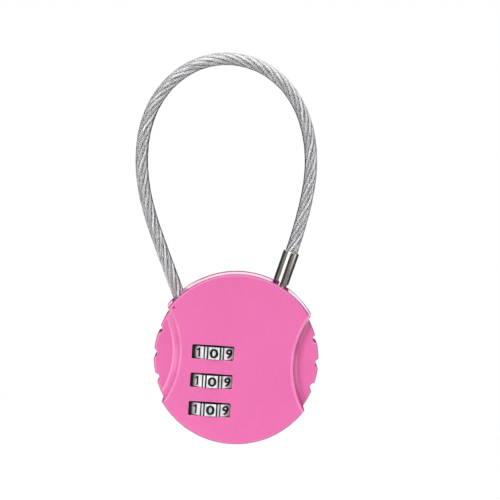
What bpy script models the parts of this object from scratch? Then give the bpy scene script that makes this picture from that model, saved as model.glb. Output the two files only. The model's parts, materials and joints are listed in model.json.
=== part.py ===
"""Cable luggage lock: a round three-dial combination lock with a steel cable loop.

The pieces are laid out on the plan of the lock, seen from its front: X to the right, Y up
towards the cable loop and Z forwards, from the flat back at 0 to the raised face. The empty
lock_plan stands that plan upright, so in the world the front faces -Y and the loop is at +Z.
"""

import math

import bmesh
import bpy
from mathutils import Vector

MM = 0.001
MERGE = 0.01 * MM
GAP = 0.3 * MM

# case
CASE_RADIUS = 21.5 * MM
CASE_DEPTH = 14.0 * MM
CASE_STEPS = 80
WALL = 1.6 * MM
REAR_WALL = 1.3 * MM
SEAM = CASE_DEPTH / 2
FACE_RADIUS = 20.95 * MM
RIM_ROUND = 0.45 * MM
GIRTH_TOP = 9.8 * MM
GIRTH_BOTTOM = 5.5 * MM
HEEL_RADIUS = 20.95 * MM
BACK_ROUND = 0.9 * MM
CAVITY_RADIUS = CASE_RADIUS - WALL
FLAT_CEILING = 10.4 * MM
POCKET_CEILING = 12.6 * MM
POCKET_RADIUS = 19.4 * MM

# the lowered areas at the two sides, bounded by arcs about points outside the case, and the
# case's smaller radius along them, with its grip notches
SIDE_CENTRE = 35.6 * MM
SIDE_RADIUS = 21.5 * MM
SIDE_FLOOR = 11.6 * MM
SIDE_FILLET = 2.0 * MM
SIDE_WALL = 1.5 * MM
SIDE_EDGE = 20.3 * MM
SIDE_EDGE_END = 32.9
SIDE_INNER = 18.6 * MM
SIDE_INNER_END = 35.5
SIDE_STEP = 0.7
SIDE_FLARE = 1.6
SIDE_OUTER = CASE_RADIUS + 2 * MM
NOTCH_RADIUS = 1.1 * MM
NOTCH_DEPTH = 0.75 * MM
NOTCH_ANGLES = (-17.0, 0.0, 17.0)

# dials
DIAL_X = -5.5 * MM
DIAL_Z = 8.2 * MM
DIAL_Y = (1.2 * MM, -5.8 * MM, -12.8 * MM)
DIAL_RADIUS = 6.6 * MM
DIAL_THICKNESS = 3.0 * MM
DIAL_FACETS = 10
GROOVE_WIDTH = 0.6 * MM
GROOVE_DEPTH = 0.45 * MM
DIAL_BORE_SIDES = 32
WINDOW_X = -5.75 * MM
WINDOW_RAISED = 0.16 * MM
WINDOW_SIZE = (10.3 * MM, 3.52 * MM)
SLEEVE_RADIUS = 3.9 * MM
SLEEVE_HEIGHT = 5.4 * MM
CHAMBER_RADIUS = 3.1 * MM
FLANGE = 0.8 * MM

# spindle, with a fin for each dial
SPINDLE_RADIUS = 1.4 * MM
SPINDLE_BOTTOM = -16.2 * MM
SPINDLE_TOP = 11.5 * MM
HEAD_RADIUS = 2.3 * MM
HEAD_BOTTOM = 9.5 * MM
HEAD_TOP = 10.5 * MM
ARM_END = 1.3 * MM
ARM_BACK = 6.1 * MM
ARM_FRONT = 9.1 * MM
FIN_REACH = 2.8 * MM
FIN_HEIGHT = 1.2 * MM
FIN_WIDTH = 1.2 * MM
GATE_WIDTH = 1.8 * MM
SPINDLE_COIL = 2.05 * MM
SPINDLE_WIRE = 0.2 * MM
SPINDLE_TURNS = 4

# frame that holds the dials apart
FRAME_PLATE = 1.0 * MM
FRAME_BACK = REAR_WALL + GAP
FRAME_FRONT = 11.9 * MM
FRAME_LEFT = -9.4 * MM
FRAME_WEB = 1.4 * MM

# leaf spring beside the dials, with a click for each
LEAF_LEFT = -13.7 * MM
LEAF_RIGHT = -13.3 * MM
LEAF_BACK = 6.6 * MM
LEAF_FRONT = 9.6 * MM
LEAF_ABOVE = 2.2 * MM
LEAF_BELOW = 1.0 * MM
CLICK_RADIUS = 0.45 * MM
CLICK_LENGTH = 1.8 * MM

# plug, measured along its own axis from the case's edge, outwards
CABLE_Z = SEAM
PLUG_AT = (10.0 * MM, 19.6 * MM)
PLUG_LEAN = 15.5
PLUG_RADIUS = 2.0 * MM
PLUG_TOP = 7.65 * MM
PLUG_BARREL_END = -0.6 * MM
SHANK_RADIUS = 1.65 * MM
NECK_RADIUS = 0.9 * MM
NECK_TOP = -2.9 * MM
NECK_BOTTOM = -4.6 * MM
BULB_RADIUS = 1.75 * MM
BULB_END = -6.9 * MM
TIP_END = -7.6 * MM
TIP_CHAMFER = 0.7 * MM
BUSH_RADIUS = 2.9 * MM
BUSH_TOP = -2.0 * MM
BUSH_BOTTOM = -3.0 * MM
CRIMP_BORE = 1.2 * MM
CRIMP_DEPTH = 5.0 * MM

# claw that hooks into the plug's neck, and the pin it turns on
PIVOT = (4.4 * MM, 11.4 * MM)
PIN_RADIUS = 0.5 * MM
PIN_BACK = 3.0 * MM
HUB_RADIUS = 1.4 * MM
CLAW_BACK = 6.0 * MM
CLAW_FRONT = 8.0 * MM
CLAW_ARM = 1.4 * MM
CLAW_NOSE = 0.7 * MM
TAIL_LENGTH = 3.7 * MM
TAIL_HEIGHT = 1.2 * MM

# cable and its anchor, measured along its own axis from the case's edge
CABLE_RADIUS = 1.55 * MM
JACKET_WALL = 0.3 * MM
ROPE_RADIUS = 0.9 * MM
ANCHOR_AT = (-15.55 * MM, 15.1 * MM)
ANCHOR_LEAN = -23.8
ANCHOR_RADIUS = 1.85 * MM
ANCHOR_TOP = -3.5 * MM
ANCHOR_END = -9.5 * MM
ANCHOR_FLOOR = ANCHOR_END + 0.8 * MM
CLAMP_WIDTH = 5.2 * MM
CLAMP_LENGTH = 2.4 * MM
CLAMP_BACK = REAR_WALL + GAP
CLAMP_FRONT = 9.7 * MM
ROUTE_STEP = 4.0 * MM
# centre line of the cable between the two straight ends, by hand, in millimetres on the plan
LOOP_POINTS = (
    (-20.3, 25.9), (-23.2, 32.9), (-25.4, 40.0), (-26.5, 47.4), (-26.1, 54.9), (-23.8, 62.0),
    (-19.4, 68.0), (-13.1, 72.1), (-5.8, 73.5), (1.5, 72.0), (7.7, 67.9), (12.1, 61.9),
    (14.6, 54.8), (15.4, 47.4), (14.8, 39.9), (13.4, 32.5),
)

# rivets through the covers' bosses
RIVETS = ((-16.9 * MM, 0.0 * MM), (15.0 * MM, 8.4 * MM), (9.5 * MM, -14.6 * MM))
RIVET_RADIUS = 0.65 * MM
RIVET_HEAD_RADIUS = 1.3 * MM
RIVET_HEAD = 0.7 * MM
RIVET_SUNK = 0.25 * MM
RIVET_TOP = 9.2 * MM
BOSS_RADIUS = 1.6 * MM

# reset plunger behind the pinhole
RESET_AT = (-16.05 * MM, 11.8 * MM)
PINHOLE_RADIUS = 0.25 * MM
PLUNGER_RADIUS = 0.4 * MM
PLUNGER_BOTTOM = 9.7 * MM
PLUNGER_TOP = 12.3 * MM
RESET_COIL = 0.4 * MM
RESET_WIRE = 0.1 * MM
RESET_TURNS = 5


# ---------------------------------------------------------------- scene and materials


def clear_scene():
    for obj in list(bpy.data.objects):
        bpy.data.objects.remove(obj, do_unlink=True)
    for collection in list(bpy.data.collections):
        bpy.data.collections.remove(collection)


def new_collection(name):
    collection = bpy.data.collections.new(name)
    bpy.context.scene.collection.children.link(collection)
    return collection


def material(name, colour, roughness, metallic):
    mat = bpy.data.materials.new(name)
    mat.use_nodes = True
    shader = mat.node_tree.nodes["Principled BSDF"]
    shader.inputs["Base Color"].default_value = (*colour, 1.0)
    shader.inputs["Roughness"].default_value = roughness
    shader.inputs["Metallic"].default_value = metallic
    return mat


# ---------------------------------------------------------------- building blocks


def place(obj, at, turn=(0, 0, 0)):
    """Puts an object on the plan, turned by degrees."""
    obj.parent = bpy.data.objects["lock_plan"]
    obj.location = at
    obj.rotation_euler = [math.radians(a) for a in turn]
    return obj


def mesh_object(name, bm, collection):
    mesh = bpy.data.meshes.new(name)
    bm.to_mesh(mesh)
    bm.free()
    obj = bpy.data.objects.new(name, mesh)
    collection.objects.link(obj)
    return obj


def box(name, low, high, collection):
    """A box between two corners, with its object at its centre."""
    low, high = Vector(low), Vector(high)
    bm = bmesh.new()
    bmesh.ops.create_cube(bm, size=1)
    bmesh.ops.scale(bm, vec=high - low, verts=bm.verts)
    return place(mesh_object(name, bm, collection), (low + high) / 2)


def peg(name, radius, low, high, at, collection, sides=24):
    """A cylinder that stands on the plan, from one depth to another."""
    bm = bmesh.new()
    bmesh.ops.create_cone(
        bm, cap_ends=True, segments=sides, radius1=radius, radius2=radius, depth=high - low
    )
    obj = mesh_object(name, bm, collection)
    return place(obj, (at[0], at[1], (low + high) / 2))


def turned(name, profile, collection, steps=32, closed=False):
    """A turned shape about the object's own Z. The profile's (radius, height) points run
    down its outer side, and the ends lie on the axis unless the profile is a closed ring."""
    bm = bmesh.new()
    verts = [bm.verts.new((radius, 0, height)) for radius, height in profile]
    for first, second in zip(verts, verts[1:]):
        bm.edges.new((first, second))
    if closed:
        bm.edges.new((verts[-1], verts[0]))
    obj = mesh_object(name, bm, collection)
    screw = obj.modifiers.new("turn", "SCREW")
    screw.steps = steps
    screw.render_steps = steps
    screw.use_merge_vertices = True
    screw.merge_threshold = MERGE
    return obj


def arc(centre, radius, start, end, count):
    """Points of an arc in a profile, from one angle to another in degrees."""
    angles = [math.radians(start + (end - start) * n / count) for n in range(count + 1)]
    return [(centre[0] + radius * math.cos(a), centre[1] + radius * math.sin(a)) for a in angles]


def boolean(obj, tool, operation):
    modifier = obj.modifiers.new(tool.name, "BOOLEAN")
    modifier.operation = operation
    modifier.object = tool
    modifier.solver = "EXACT"
    tool.hide_render = True
    tool.display_type = "WIRE"


def cut(obj, *tools):
    for tool in tools:
        boolean(obj, tool, "DIFFERENCE")


def join(obj, *tools):
    for tool in tools:
        boolean(obj, tool, "UNION")


def finish(obj, mat, smooth_angle=35.0):
    """Gives a mesh object its material, and smooth shading with sharp edges."""
    obj.data.materials.append(mat)
    obj.data.shade_smooth()
    if obj.data.polygons:
        obj.data.set_sharp_from_angle(angle=math.radians(smooth_angle))
    return obj


def along(at, lean, distance):
    """The plan point at a distance along an axis that leans right of Y by some degrees."""
    angle = math.radians(lean)
    return at[0] + distance * math.sin(angle), at[1] + distance * math.cos(angle)


def bore_along(name, at, lean, radius, start, end, collection):
    """A cylinder along a leaning axis in the cable's plane, between two distances."""
    obj = peg(name, radius, start, end, (0, 0), collection)
    middle = along(at, lean, (start + end) / 2)
    return place(obj, (*middle, CABLE_Z), (-90, 0, -lean))


# ---------------------------------------------------------------- tools for the case


def side_edge(angle):
    """The case's radius along a side, where notches are cut into it, at an angle in degrees."""
    centre = SIDE_EDGE - NOTCH_DEPTH + NOTCH_RADIUS
    for notch in NOTCH_ANGLES:
        turn = math.radians(angle - notch)
        across = centre * math.sin(turn)
        if abs(across) < NOTCH_RADIUS:
            bottom = centre * math.cos(turn) - math.sqrt(NOTCH_RADIUS**2 - across**2)
            return min(bottom, SIDE_EDGE)
    return SIDE_EDGE


def side_ring(name, side, inner, end, cutters):
    """A part of a ring around one side of the case. inner gives its radius at an angle."""
    count = round(2 * end / SIDE_STEP)
    angles = [-end + 2 * end * n / count for n in range(count + 1)]
    points = [(inner(angle), angle) for angle in angles]
    far_end = end + SIDE_FLARE
    points += [(SIDE_OUTER, angle) for angle in (far_end, end / 2, 0, -end / 2, -far_end)]
    bm = bmesh.new()
    verts = [
        bm.verts.new((
            side * radius * math.cos(math.radians(angle)),
            radius * math.sin(math.radians(angle)),
            -GAP,
        ))
        for radius, angle in points
    ]
    face = bm.faces.new(verts)
    raised = bmesh.ops.extrude_face_region(bm, geom=[face])["geom"]
    moved = [item for item in raised if isinstance(item, bmesh.types.BMVert)]
    bmesh.ops.translate(bm, verts=moved, vec=(0, 0, CASE_DEPTH + 2 * GAP))
    bmesh.ops.recalc_face_normals(bm, faces=bm.faces)
    return place(mesh_object(name, bm, cutters), (0, 0, 0))


def edge_tools(cutters):
    """Both sides' outlines, set in from the case's radius and notched for grip."""
    return [
        side_ring("edge_left", -1, side_edge, SIDE_EDGE_END, cutters),
        side_ring("edge_right", 1, side_edge, SIDE_EDGE_END, cutters),
    ]


def wall_tools(cutters):
    """What keeps the cavity clear of the notched edges."""
    return [
        side_ring("wall_left", -1, lambda angle: SIDE_INNER, SIDE_INNER_END, cutters),
        side_ring("wall_right", 1, lambda angle: SIDE_INNER, SIDE_INNER_END, cutters),
    ]


def entry_tools(cutters):
    """The holes that the cable and the plug go through, half in each cover. The plug's is
    wider behind the wall, for its bush."""
    cable_hole = bore_along(
        "cable_hole", ANCHOR_AT, ANCHOR_LEAN, CABLE_RADIUS + GAP, -5 * MM, 5 * MM, cutters
    )
    mouth, seat = PLUG_RADIUS + GAP, BUSH_RADIUS + GAP
    profile = [
        (0, 5 * MM), (mouth, 5 * MM), (mouth, BUSH_TOP + GAP), (seat, BUSH_TOP + GAP),
        (seat, BUSH_BOTTOM - GAP), (0, BUSH_BOTTOM - GAP),
    ]
    plug_hole = turned("plug_hole", profile, cutters, steps=32)
    place(plug_hole, (*PLUG_AT, CABLE_Z), (-90, 0, -PLUG_LEAN))
    return [cable_hole, plug_hole]


def side_tool(name, side, radius, floor, fillet, cutters):
    """Clears the area outside an arc at one side, down to a floor with a filleted foot."""
    profile = [(0, CASE_DEPTH + 1 * MM), (radius, CASE_DEPTH + 1 * MM)]
    if fillet:
        profile += arc((radius - fillet, floor + fillet), fillet, 0, -90, 5)
    else:
        profile.append((radius, floor))
    profile.append((0, floor))
    return place(turned(name, profile, cutters, steps=96), (side * SIDE_CENTRE, 0, 0))


# ---------------------------------------------------------------- case


def stepped_hole(name, x, y, steps, cutters):
    """A round hole that changes radius with depth, from (radius, depth) steps, front to back."""
    profile = [(0, steps[0][1])]
    for (radius, top), (_, bottom) in zip(steps, steps[1:]):
        profile += [(radius, top), (radius, bottom)]
    profile.append((0, steps[-1][1]))
    return place(turned(name, profile, cutters, steps=20), (x, y, 0))


def front_cover(parts, cutters, edges, walls, entries, mat):
    profile = [(0, CASE_DEPTH)]
    profile += arc((FACE_RADIUS - RIM_ROUND, CASE_DEPTH - RIM_ROUND), RIM_ROUND, 90, 0, 3)
    profile += [(CASE_RADIUS, GIRTH_TOP), (CASE_RADIUS, SEAM + GAP / 2), (0, SEAM + GAP / 2)]
    cover = turned("front_cover", profile, parts, steps=CASE_STEPS)
    place(cover, (0, 0, 0), (0, 0, 180 / CASE_STEPS))
    cut(cover, *edges)

    cavity = peg("front_cavity", CAVITY_RADIUS, 0, FLAT_CEILING, (0, 0), cutters, sides=72)
    pocket = peg(
        "front_pocket", POCKET_RADIUS, FLAT_CEILING - 1 * MM, POCKET_CEILING, (0, 0), cutters,
        sides=72,
    )
    cut(cavity, *walls)
    for side, hand in ((-1, "left"), (1, "right")):
        keep = SIDE_RADIUS + SIDE_WALL
        cut(pocket, side_tool(f"pocket_{hand}_limit", side, keep, 0, 0, cutters))
        cut(
            cover,
            side_tool(f"side_{hand}", side, SIDE_RADIUS, SIDE_FLOOR, SIDE_FILLET, cutters),
        )
    for number, (x, y) in enumerate(RIVETS, 1):
        boss = peg(f"front_boss_{number}", BOSS_RADIUS, -1 * MM, CASE_DEPTH, (x, y), cutters)
        cut(cavity, boss)
        cut(pocket, boss)
    pin_boss = peg("front_pin_boss", HUB_RADIUS, CLAW_FRONT + 2 * GAP, CASE_DEPTH, PIVOT, cutters)
    cut(cavity, pin_boss)
    cut(pocket, pin_boss)
    cut(cover, cavity, pocket)

    for number, (x, y) in enumerate(RIVETS, 1):
        hole = [(RIVET_RADIUS + GAP, RIVET_TOP + GAP), (0, 0)]
        cut(cover, stepped_hole(f"front_rivet_hole_{number}", x, y, hole, cutters))
    pin_hole = [(PIN_RADIUS + GAP, POCKET_CEILING - GAP), (0, CLAW_FRONT)]
    cut(cover, stepped_hole("front_pin_hole", *PIVOT, pin_hole, cutters))

    for number, y in enumerate(DIAL_Y, 1):
        width, height = WINDOW_SIZE
        window = box(
            f"window_{number}",
            (WINDOW_X - width / 2, y + WINDOW_RAISED - height / 2, POCKET_CEILING - GAP),
            (WINDOW_X + width / 2, y + WINDOW_RAISED + height / 2, CASE_DEPTH + 1 * MM),
            cutters,
        )
        cut(cover, window)
    pinhole = [
        (PINHOLE_RADIUS, CASE_DEPTH + 1 * MM), (PLUNGER_RADIUS + GAP, PLUNGER_TOP + GAP), (0, 0),
    ]
    cut(cover, stepped_hole("pinhole", *RESET_AT, pinhole, cutters), *entries)
    return finish(cover, mat)


def rear_cover(parts, cutters, edges, walls, entries, mat):
    profile = [(0, SEAM - GAP / 2), (CASE_RADIUS, SEAM - GAP / 2), (CASE_RADIUS, GIRTH_BOTTOM)]
    profile += arc((HEEL_RADIUS - BACK_ROUND, BACK_ROUND), BACK_ROUND, 0, -90, 4)
    profile.append((0, 0))
    cover = turned("rear_cover", profile, parts, steps=CASE_STEPS)
    place(cover, (0, 0, 0), (0, 0, 180 / CASE_STEPS))
    cut(cover, *edges)

    cavity = peg("rear_cavity", CAVITY_RADIUS, REAR_WALL, CASE_DEPTH, (0, 0), cutters, sides=72)
    cut(cavity, *walls)
    for number, (x, y) in enumerate(RIVETS, 1):
        cut(cavity, peg(f"rear_boss_{number}", BOSS_RADIUS, 0, 2 * CASE_DEPTH, (x, y), cutters))
    cut(cavity, peg("rear_pin_boss", HUB_RADIUS, 0, CLAW_BACK - GAP, PIVOT, cutters))
    cut(cover, cavity)

    for number, (x, y) in enumerate(RIVETS, 1):
        hole = [
            (RIVET_RADIUS + GAP, CASE_DEPTH),
            (RIVET_HEAD_RADIUS + GAP, RIVET_SUNK + RIVET_HEAD + GAP),
            (0, -1 * MM),
        ]
        cut(cover, stepped_hole(f"rear_rivet_hole_{number}", x, y, hole, cutters))
    pin_hole = [(PIN_RADIUS + GAP, CASE_DEPTH), (0, PIN_BACK - GAP)]
    cut(cover, stepped_hole("rear_pin_hole", *PIVOT, pin_hole, cutters), *entries)
    return finish(cover, mat)


def rivets(parts, mat):
    head_top = RIVET_SUNK + RIVET_HEAD
    profile = [
        (0, RIVET_TOP), (RIVET_RADIUS, RIVET_TOP), (RIVET_RADIUS, head_top),
        (RIVET_HEAD_RADIUS, head_top), (RIVET_HEAD_RADIUS, RIVET_SUNK + 0.2 * MM),
        (RIVET_HEAD_RADIUS - 0.3 * MM, RIVET_SUNK), (0, RIVET_SUNK),
    ]
    for number, (x, y) in enumerate(RIVETS, 1):
        rivet = turned(f"case_rivet_{number}", profile, parts, steps=20)
        finish(place(rivet, (x, y, 0)), mat)


# ---------------------------------------------------------------- dials


def facet_outline():
    """The rim of a dial: flat facets with a square groove at each corner."""
    corner = DIAL_RADIUS
    half_facet = corner * math.sin(math.pi / DIAL_FACETS) - GROOVE_WIDTH / 2
    flat = corner * math.cos(math.pi / DIAL_FACETS)
    points = []
    for number in range(DIAL_FACETS):
        angle = 2 * math.pi * number / DIAL_FACETS
        out = Vector((math.cos(angle), math.sin(angle)))
        side = Vector((-out.y, out.x))
        points += [
            out * (flat - GROOVE_DEPTH) - side * half_facet,
            out * flat - side * half_facet,
            out * flat + side * half_facet,
            out * (flat - GROOVE_DEPTH) + side * half_facet,
        ]
    return points


def dial_wheel(number, parts, mat):
    """A numbered wheel. Its first facet faces the window."""
    outline = bpy.data.curves.new(f"dial_outline_{number}", "CURVE")
    outline.dimensions = "2D"
    outline.fill_mode = "BOTH"
    outline.extrude = DIAL_THICKNESS / 2
    bore = arc((0, 0), SLEEVE_RADIUS + GAP, 0, 360, DIAL_BORE_SIDES)
    for points in (facet_outline(), bore[:-1]):
        spline = outline.splines.new("POLY")
        spline.points.add(len(points) - 1)
        spline.use_cyclic_u = True
        for point, target in zip(points, spline.points):
            target.co = (point[0], point[1], 0, 1)
    wheel = bpy.data.objects.new(f"dial_wheel_{number}", outline)
    outline.materials.append(mat)
    parts.objects.link(wheel)
    return place(wheel, (DIAL_X, DIAL_Y[number - 1], DIAL_Z), (-90, -90, 0))


def cam_sleeve(number, parts, cutters, mat):
    """The sleeve in a dial, hollow for the spindle's fin, with a gate through its flanges."""
    half, bore = SLEEVE_HEIGHT / 2, SPINDLE_RADIUS + GAP
    profile = [
        (SLEEVE_RADIUS, half), (SLEEVE_RADIUS, -half), (bore, -half), (bore, FLANGE - half),
        (CHAMBER_RADIUS, FLANGE - half), (CHAMBER_RADIUS, half - FLANGE),
        (bore, half - FLANGE), (bore, half),
    ]
    y = DIAL_Y[number - 1]
    sleeve = turned(f"cam_sleeve_{number}", profile, parts, closed=True)
    place(sleeve, (DIAL_X, y, DIAL_Z), (-90, 0, 0))
    cut(
        sleeve,
        box(
            f"gate_{number}",
            (DIAL_X, y - SLEEVE_HEIGHT, DIAL_Z - GATE_WIDTH / 2),
            (DIAL_X + FIN_REACH + GAP, y + SLEEVE_HEIGHT, DIAL_Z + GATE_WIDTH / 2),
            cutters,
        ),
    )
    return finish(sleeve, mat)


def dial_frame(parts, cutters, mat):
    """A comb: a web beside the dials with a plate above, below and between them."""
    reach = SLEEVE_HEIGHT / 2 + GAP
    between = [(upper + lower) / 2 - FRAME_PLATE / 2 for upper, lower in zip(DIAL_Y, DIAL_Y[1:])]
    bottoms = [DIAL_Y[0] + reach, *between, DIAL_Y[-1] - reach - FRAME_PLATE]
    low, high = bottoms[-1], bottoms[0] + FRAME_PLATE
    frame = box(
        "dial_frame",
        (FRAME_WEB, low, FRAME_BACK),
        (FRAME_WEB + FRAME_PLATE, high, FRAME_FRONT),
        parts,
    )
    for number, bottom in enumerate(bottoms, 1):
        plate = box(
            f"frame_plate_{number}",
            (FRAME_LEFT, bottom, FRAME_BACK + 0.1 * MM),
            (FRAME_WEB + FRAME_PLATE / 2, bottom + FRAME_PLATE, FRAME_FRONT - 0.1 * MM),
            cutters,
        )
        join(frame, plate)
    bore = peg(
        "frame_bore", SPINDLE_RADIUS + GAP, low - 1 * MM, high + 1 * MM, (0, 0), cutters
    )
    place(bore, (DIAL_X, (low + high) / 2, DIAL_Z), (-90, 0, 0))
    slot = box(
        "frame_slot",
        (DIAL_X, low - 1 * MM, DIAL_Z - GATE_WIDTH / 2),
        (DIAL_X + FIN_REACH + GAP, high + 1 * MM, DIAL_Z + GATE_WIDTH / 2),
        cutters,
    )
    cut(frame, bore, slot)
    return finish(frame, mat)


def detent_spring(parts, cutters, mat):
    """A leaf beside the dials with a rounded click for each."""
    spring = box(
        "detent_spring",
        (LEAF_LEFT, DIAL_Y[-1] - LEAF_BELOW, LEAF_BACK),
        (LEAF_RIGHT, DIAL_Y[0] + LEAF_ABOVE, LEAF_FRONT),
        parts,
    )
    for number, y in enumerate(DIAL_Y, 1):
        click = peg(f"click_{number}", CLICK_RADIUS, 0, CLICK_LENGTH, (0, 0), cutters, sides=16)
        place(click, (LEAF_RIGHT + 0.1 * MM, y, DIAL_Z), (-90, 0, 0))
        join(spring, click)
    return finish(spring, mat)


# ---------------------------------------------------------------- mechanism


def spindle(parts, cutters, mat):
    chamfer = 0.3 * MM
    profile = [
        (0, SPINDLE_TOP), (SPINDLE_RADIUS, SPINDLE_TOP), (SPINDLE_RADIUS, HEAD_TOP),
        (HEAD_RADIUS, HEAD_TOP), (HEAD_RADIUS, HEAD_BOTTOM), (SPINDLE_RADIUS, HEAD_BOTTOM),
        (SPINDLE_RADIUS, SPINDLE_BOTTOM + chamfer), (SPINDLE_RADIUS - chamfer, SPINDLE_BOTTOM),
        (0, SPINDLE_BOTTOM),
    ]
    rod = place(turned("spindle", profile, parts, steps=24), (DIAL_X, 0, DIAL_Z), (-90, 0, 0))
    join(
        rod,
        box(
            "spindle_arm",
            (DIAL_X, HEAD_BOTTOM + 0.1 * MM, ARM_BACK),
            (ARM_END, HEAD_TOP, ARM_FRONT),
            cutters,
        ),
    )
    fin_top = SLEEVE_HEIGHT / 2 - FLANGE - GAP
    for number, y in enumerate(DIAL_Y, 1):
        join(
            rod,
            box(
                f"fin_{number}",
                (DIAL_X, y + fin_top - FIN_HEIGHT, DIAL_Z - FIN_WIDTH / 2),
                (DIAL_X + FIN_REACH, y + fin_top, DIAL_Z + FIN_WIDTH / 2),
                cutters,
            ),
        )
    return finish(rod, mat)


def coil(name, parts, mat, coil_radius, wire_radius, turns, low, high, at, turn):
    """A compression spring about its own Z, from low to high over its wire."""
    per_turn = 12
    count = per_turn * turns
    curve = bpy.data.curves.new(name, "CURVE")
    curve.dimensions = "3D"
    curve.bevel_depth = wire_radius
    curve.bevel_resolution = 1
    curve.use_fill_caps = True
    spline = curve.splines.new("POLY")
    spline.points.add(count)
    travel = high - low - 2 * wire_radius
    for number, point in enumerate(spline.points):
        angle = 2 * math.pi * number / per_turn
        height = low + wire_radius + travel * number / count
        point.co = (coil_radius * math.cos(angle), coil_radius * math.sin(angle), height, 1)
    curve.materials.append(mat)
    spring = bpy.data.objects.new(name, curve)
    parts.objects.link(spring)
    return place(spring, at, turn)


def spindle_spring(parts, mat):
    low = DIAL_Y[0] + SLEEVE_HEIGHT / 2 + GAP + FRAME_PLATE + GAP
    length = HEAD_BOTTOM - GAP - low
    return coil(
        "spindle_spring", parts, mat, SPINDLE_COIL, SPINDLE_WIRE, SPINDLE_TURNS, 0, length,
        (DIAL_X, low, DIAL_Z), (-90, 0, 0),
    )


def locking_claw(parts, cutters, mat):
    """A two-armed lever. Its nose lies in the plug's neck and its tail over the spindle."""
    claw = peg("locking_claw", HUB_RADIUS, -1 * MM, 1 * MM, (0, 0), parts)
    place(claw, (*PIVOT, (CLAW_BACK + CLAW_FRONT) / 2))
    lean = math.radians(PLUG_LEAN)
    outward = Vector((math.sin(lean), math.cos(lean)))
    across = Vector((outward.y, -outward.x))
    neck = Vector(along(PLUG_AT, PLUG_LEAN, (NECK_TOP + NECK_BOTTOM) / 2 - 0.25 * MM))
    offset = neck - Vector(PIVOT)
    arm_length = offset.dot(outward) + CLAW_NOSE / 2
    nose_reach = offset.dot(across) - NECK_RADIUS - GAP

    def bar(name, start, end, width, inset):
        """A bar between two plan points, thinner than the hub by an inset on each face."""
        start, end = Vector(start), Vector(end)
        run = end - start
        obj = box(
            name,
            (0, -width / 2, CLAW_BACK + inset),
            (run.length, width / 2, CLAW_FRONT - inset),
            cutters,
        )
        middle = (start + end) / 2
        return place(
            obj,
            (middle.x, middle.y, (CLAW_BACK + CLAW_FRONT) / 2),
            (0, 0, math.degrees(math.atan2(run.y, run.x))),
        )

    pivot = Vector(PIVOT)
    nose_start = pivot + outward * (arm_length - CLAW_NOSE / 2)
    join(
        claw,
        bar("claw_arm", pivot, pivot + outward * arm_length, CLAW_ARM, 0.1 * MM),
        bar("claw_nose", nose_start, nose_start + across * nose_reach, CLAW_NOSE, 0.2 * MM),
        bar("claw_tail", pivot, pivot - Vector((TAIL_LENGTH, 0)), TAIL_HEIGHT, 0.15 * MM),
    )
    cut(claw, peg("claw_bore", PIN_RADIUS + GAP, 0, CASE_DEPTH, PIVOT, cutters, sides=16))
    return finish(claw, mat)


def claw_pin(parts, mat):
    pin = peg("claw_pin", PIN_RADIUS, PIN_BACK, POCKET_CEILING - 2 * GAP, PIVOT, parts, sides=16)
    return finish(pin, mat)


def plug(parts, mat):
    """The crimped ferrule with the plug below it, one turned piece along its own axis."""
    chamfer = 0.25 * MM
    bore_end = PLUG_TOP - CRIMP_DEPTH
    profile = [
        (0, bore_end), (CRIMP_BORE, bore_end), (CRIMP_BORE, PLUG_TOP),
        (PLUG_RADIUS - chamfer, PLUG_TOP), (PLUG_RADIUS, PLUG_TOP - chamfer),
        (PLUG_RADIUS, PLUG_BARREL_END), (SHANK_RADIUS, PLUG_BARREL_END),
        (SHANK_RADIUS, NECK_TOP), (NECK_RADIUS, NECK_TOP), (NECK_RADIUS, NECK_BOTTOM),
        (BULB_RADIUS, BULB_END), (BULB_RADIUS - TIP_CHAMFER, TIP_END), (0, TIP_END),
    ]
    obj = turned("plug", profile, parts, steps=32)
    place(obj, (*PLUG_AT, CABLE_Z), (-90, 0, -PLUG_LEAN))
    return finish(obj, mat)


def plug_bush(parts, mat):
    """A steel ring inside the wall that guides the plug."""
    inner = BULB_RADIUS + GAP
    profile = [
        (BUSH_RADIUS, BUSH_TOP), (BUSH_RADIUS, BUSH_BOTTOM), (inner, BUSH_BOTTOM),
        (inner, BUSH_TOP),
    ]
    obj = turned("plug_bush", profile, parts, steps=32, closed=True)
    place(obj, (*PLUG_AT, CABLE_Z), (-90, 0, -PLUG_LEAN))
    return finish(obj, mat)


# ---------------------------------------------------------------- cable


def anchor(parts, cutters, sleeve_mat, clamp_mat):
    """The crimped sleeve on the cable's fixed end, and the block that holds it."""
    chamfer = 0.25 * MM
    profile = [
        (0, ANCHOR_FLOOR), (CRIMP_BORE, ANCHOR_FLOOR), (CRIMP_BORE, ANCHOR_TOP),
        (ANCHOR_RADIUS - chamfer, ANCHOR_TOP), (ANCHOR_RADIUS, ANCHOR_TOP - chamfer),
        (ANCHOR_RADIUS, ANCHOR_END + chamfer), (ANCHOR_RADIUS - chamfer, ANCHOR_END),
        (0, ANCHOR_END),
    ]
    sleeve = turned("anchor_sleeve", profile, parts, steps=24)
    place(sleeve, (*ANCHOR_AT, CABLE_Z), (-90, 0, -ANCHOR_LEAN))
    finish(sleeve, sleeve_mat)

    clamp = box(
        "anchor_clamp",
        (-CLAMP_WIDTH / 2, -CLAMP_LENGTH / 2, CLAMP_BACK),
        (CLAMP_WIDTH / 2, CLAMP_LENGTH / 2, CLAMP_FRONT),
        parts,
    )
    middle = along(ANCHOR_AT, ANCHOR_LEAN, (ANCHOR_TOP + ANCHOR_END) / 2)
    place(clamp, (*middle, (CLAMP_BACK + CLAMP_FRONT) / 2), (0, 0, -ANCHOR_LEAN))
    hole = bore_along(
        "clamp_hole", ANCHOR_AT, ANCHOR_LEAN, ANCHOR_RADIUS + GAP, -12 * MM, 0, cutters
    )
    cut(clamp, hole)
    finish(clamp, clamp_mat)


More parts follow.
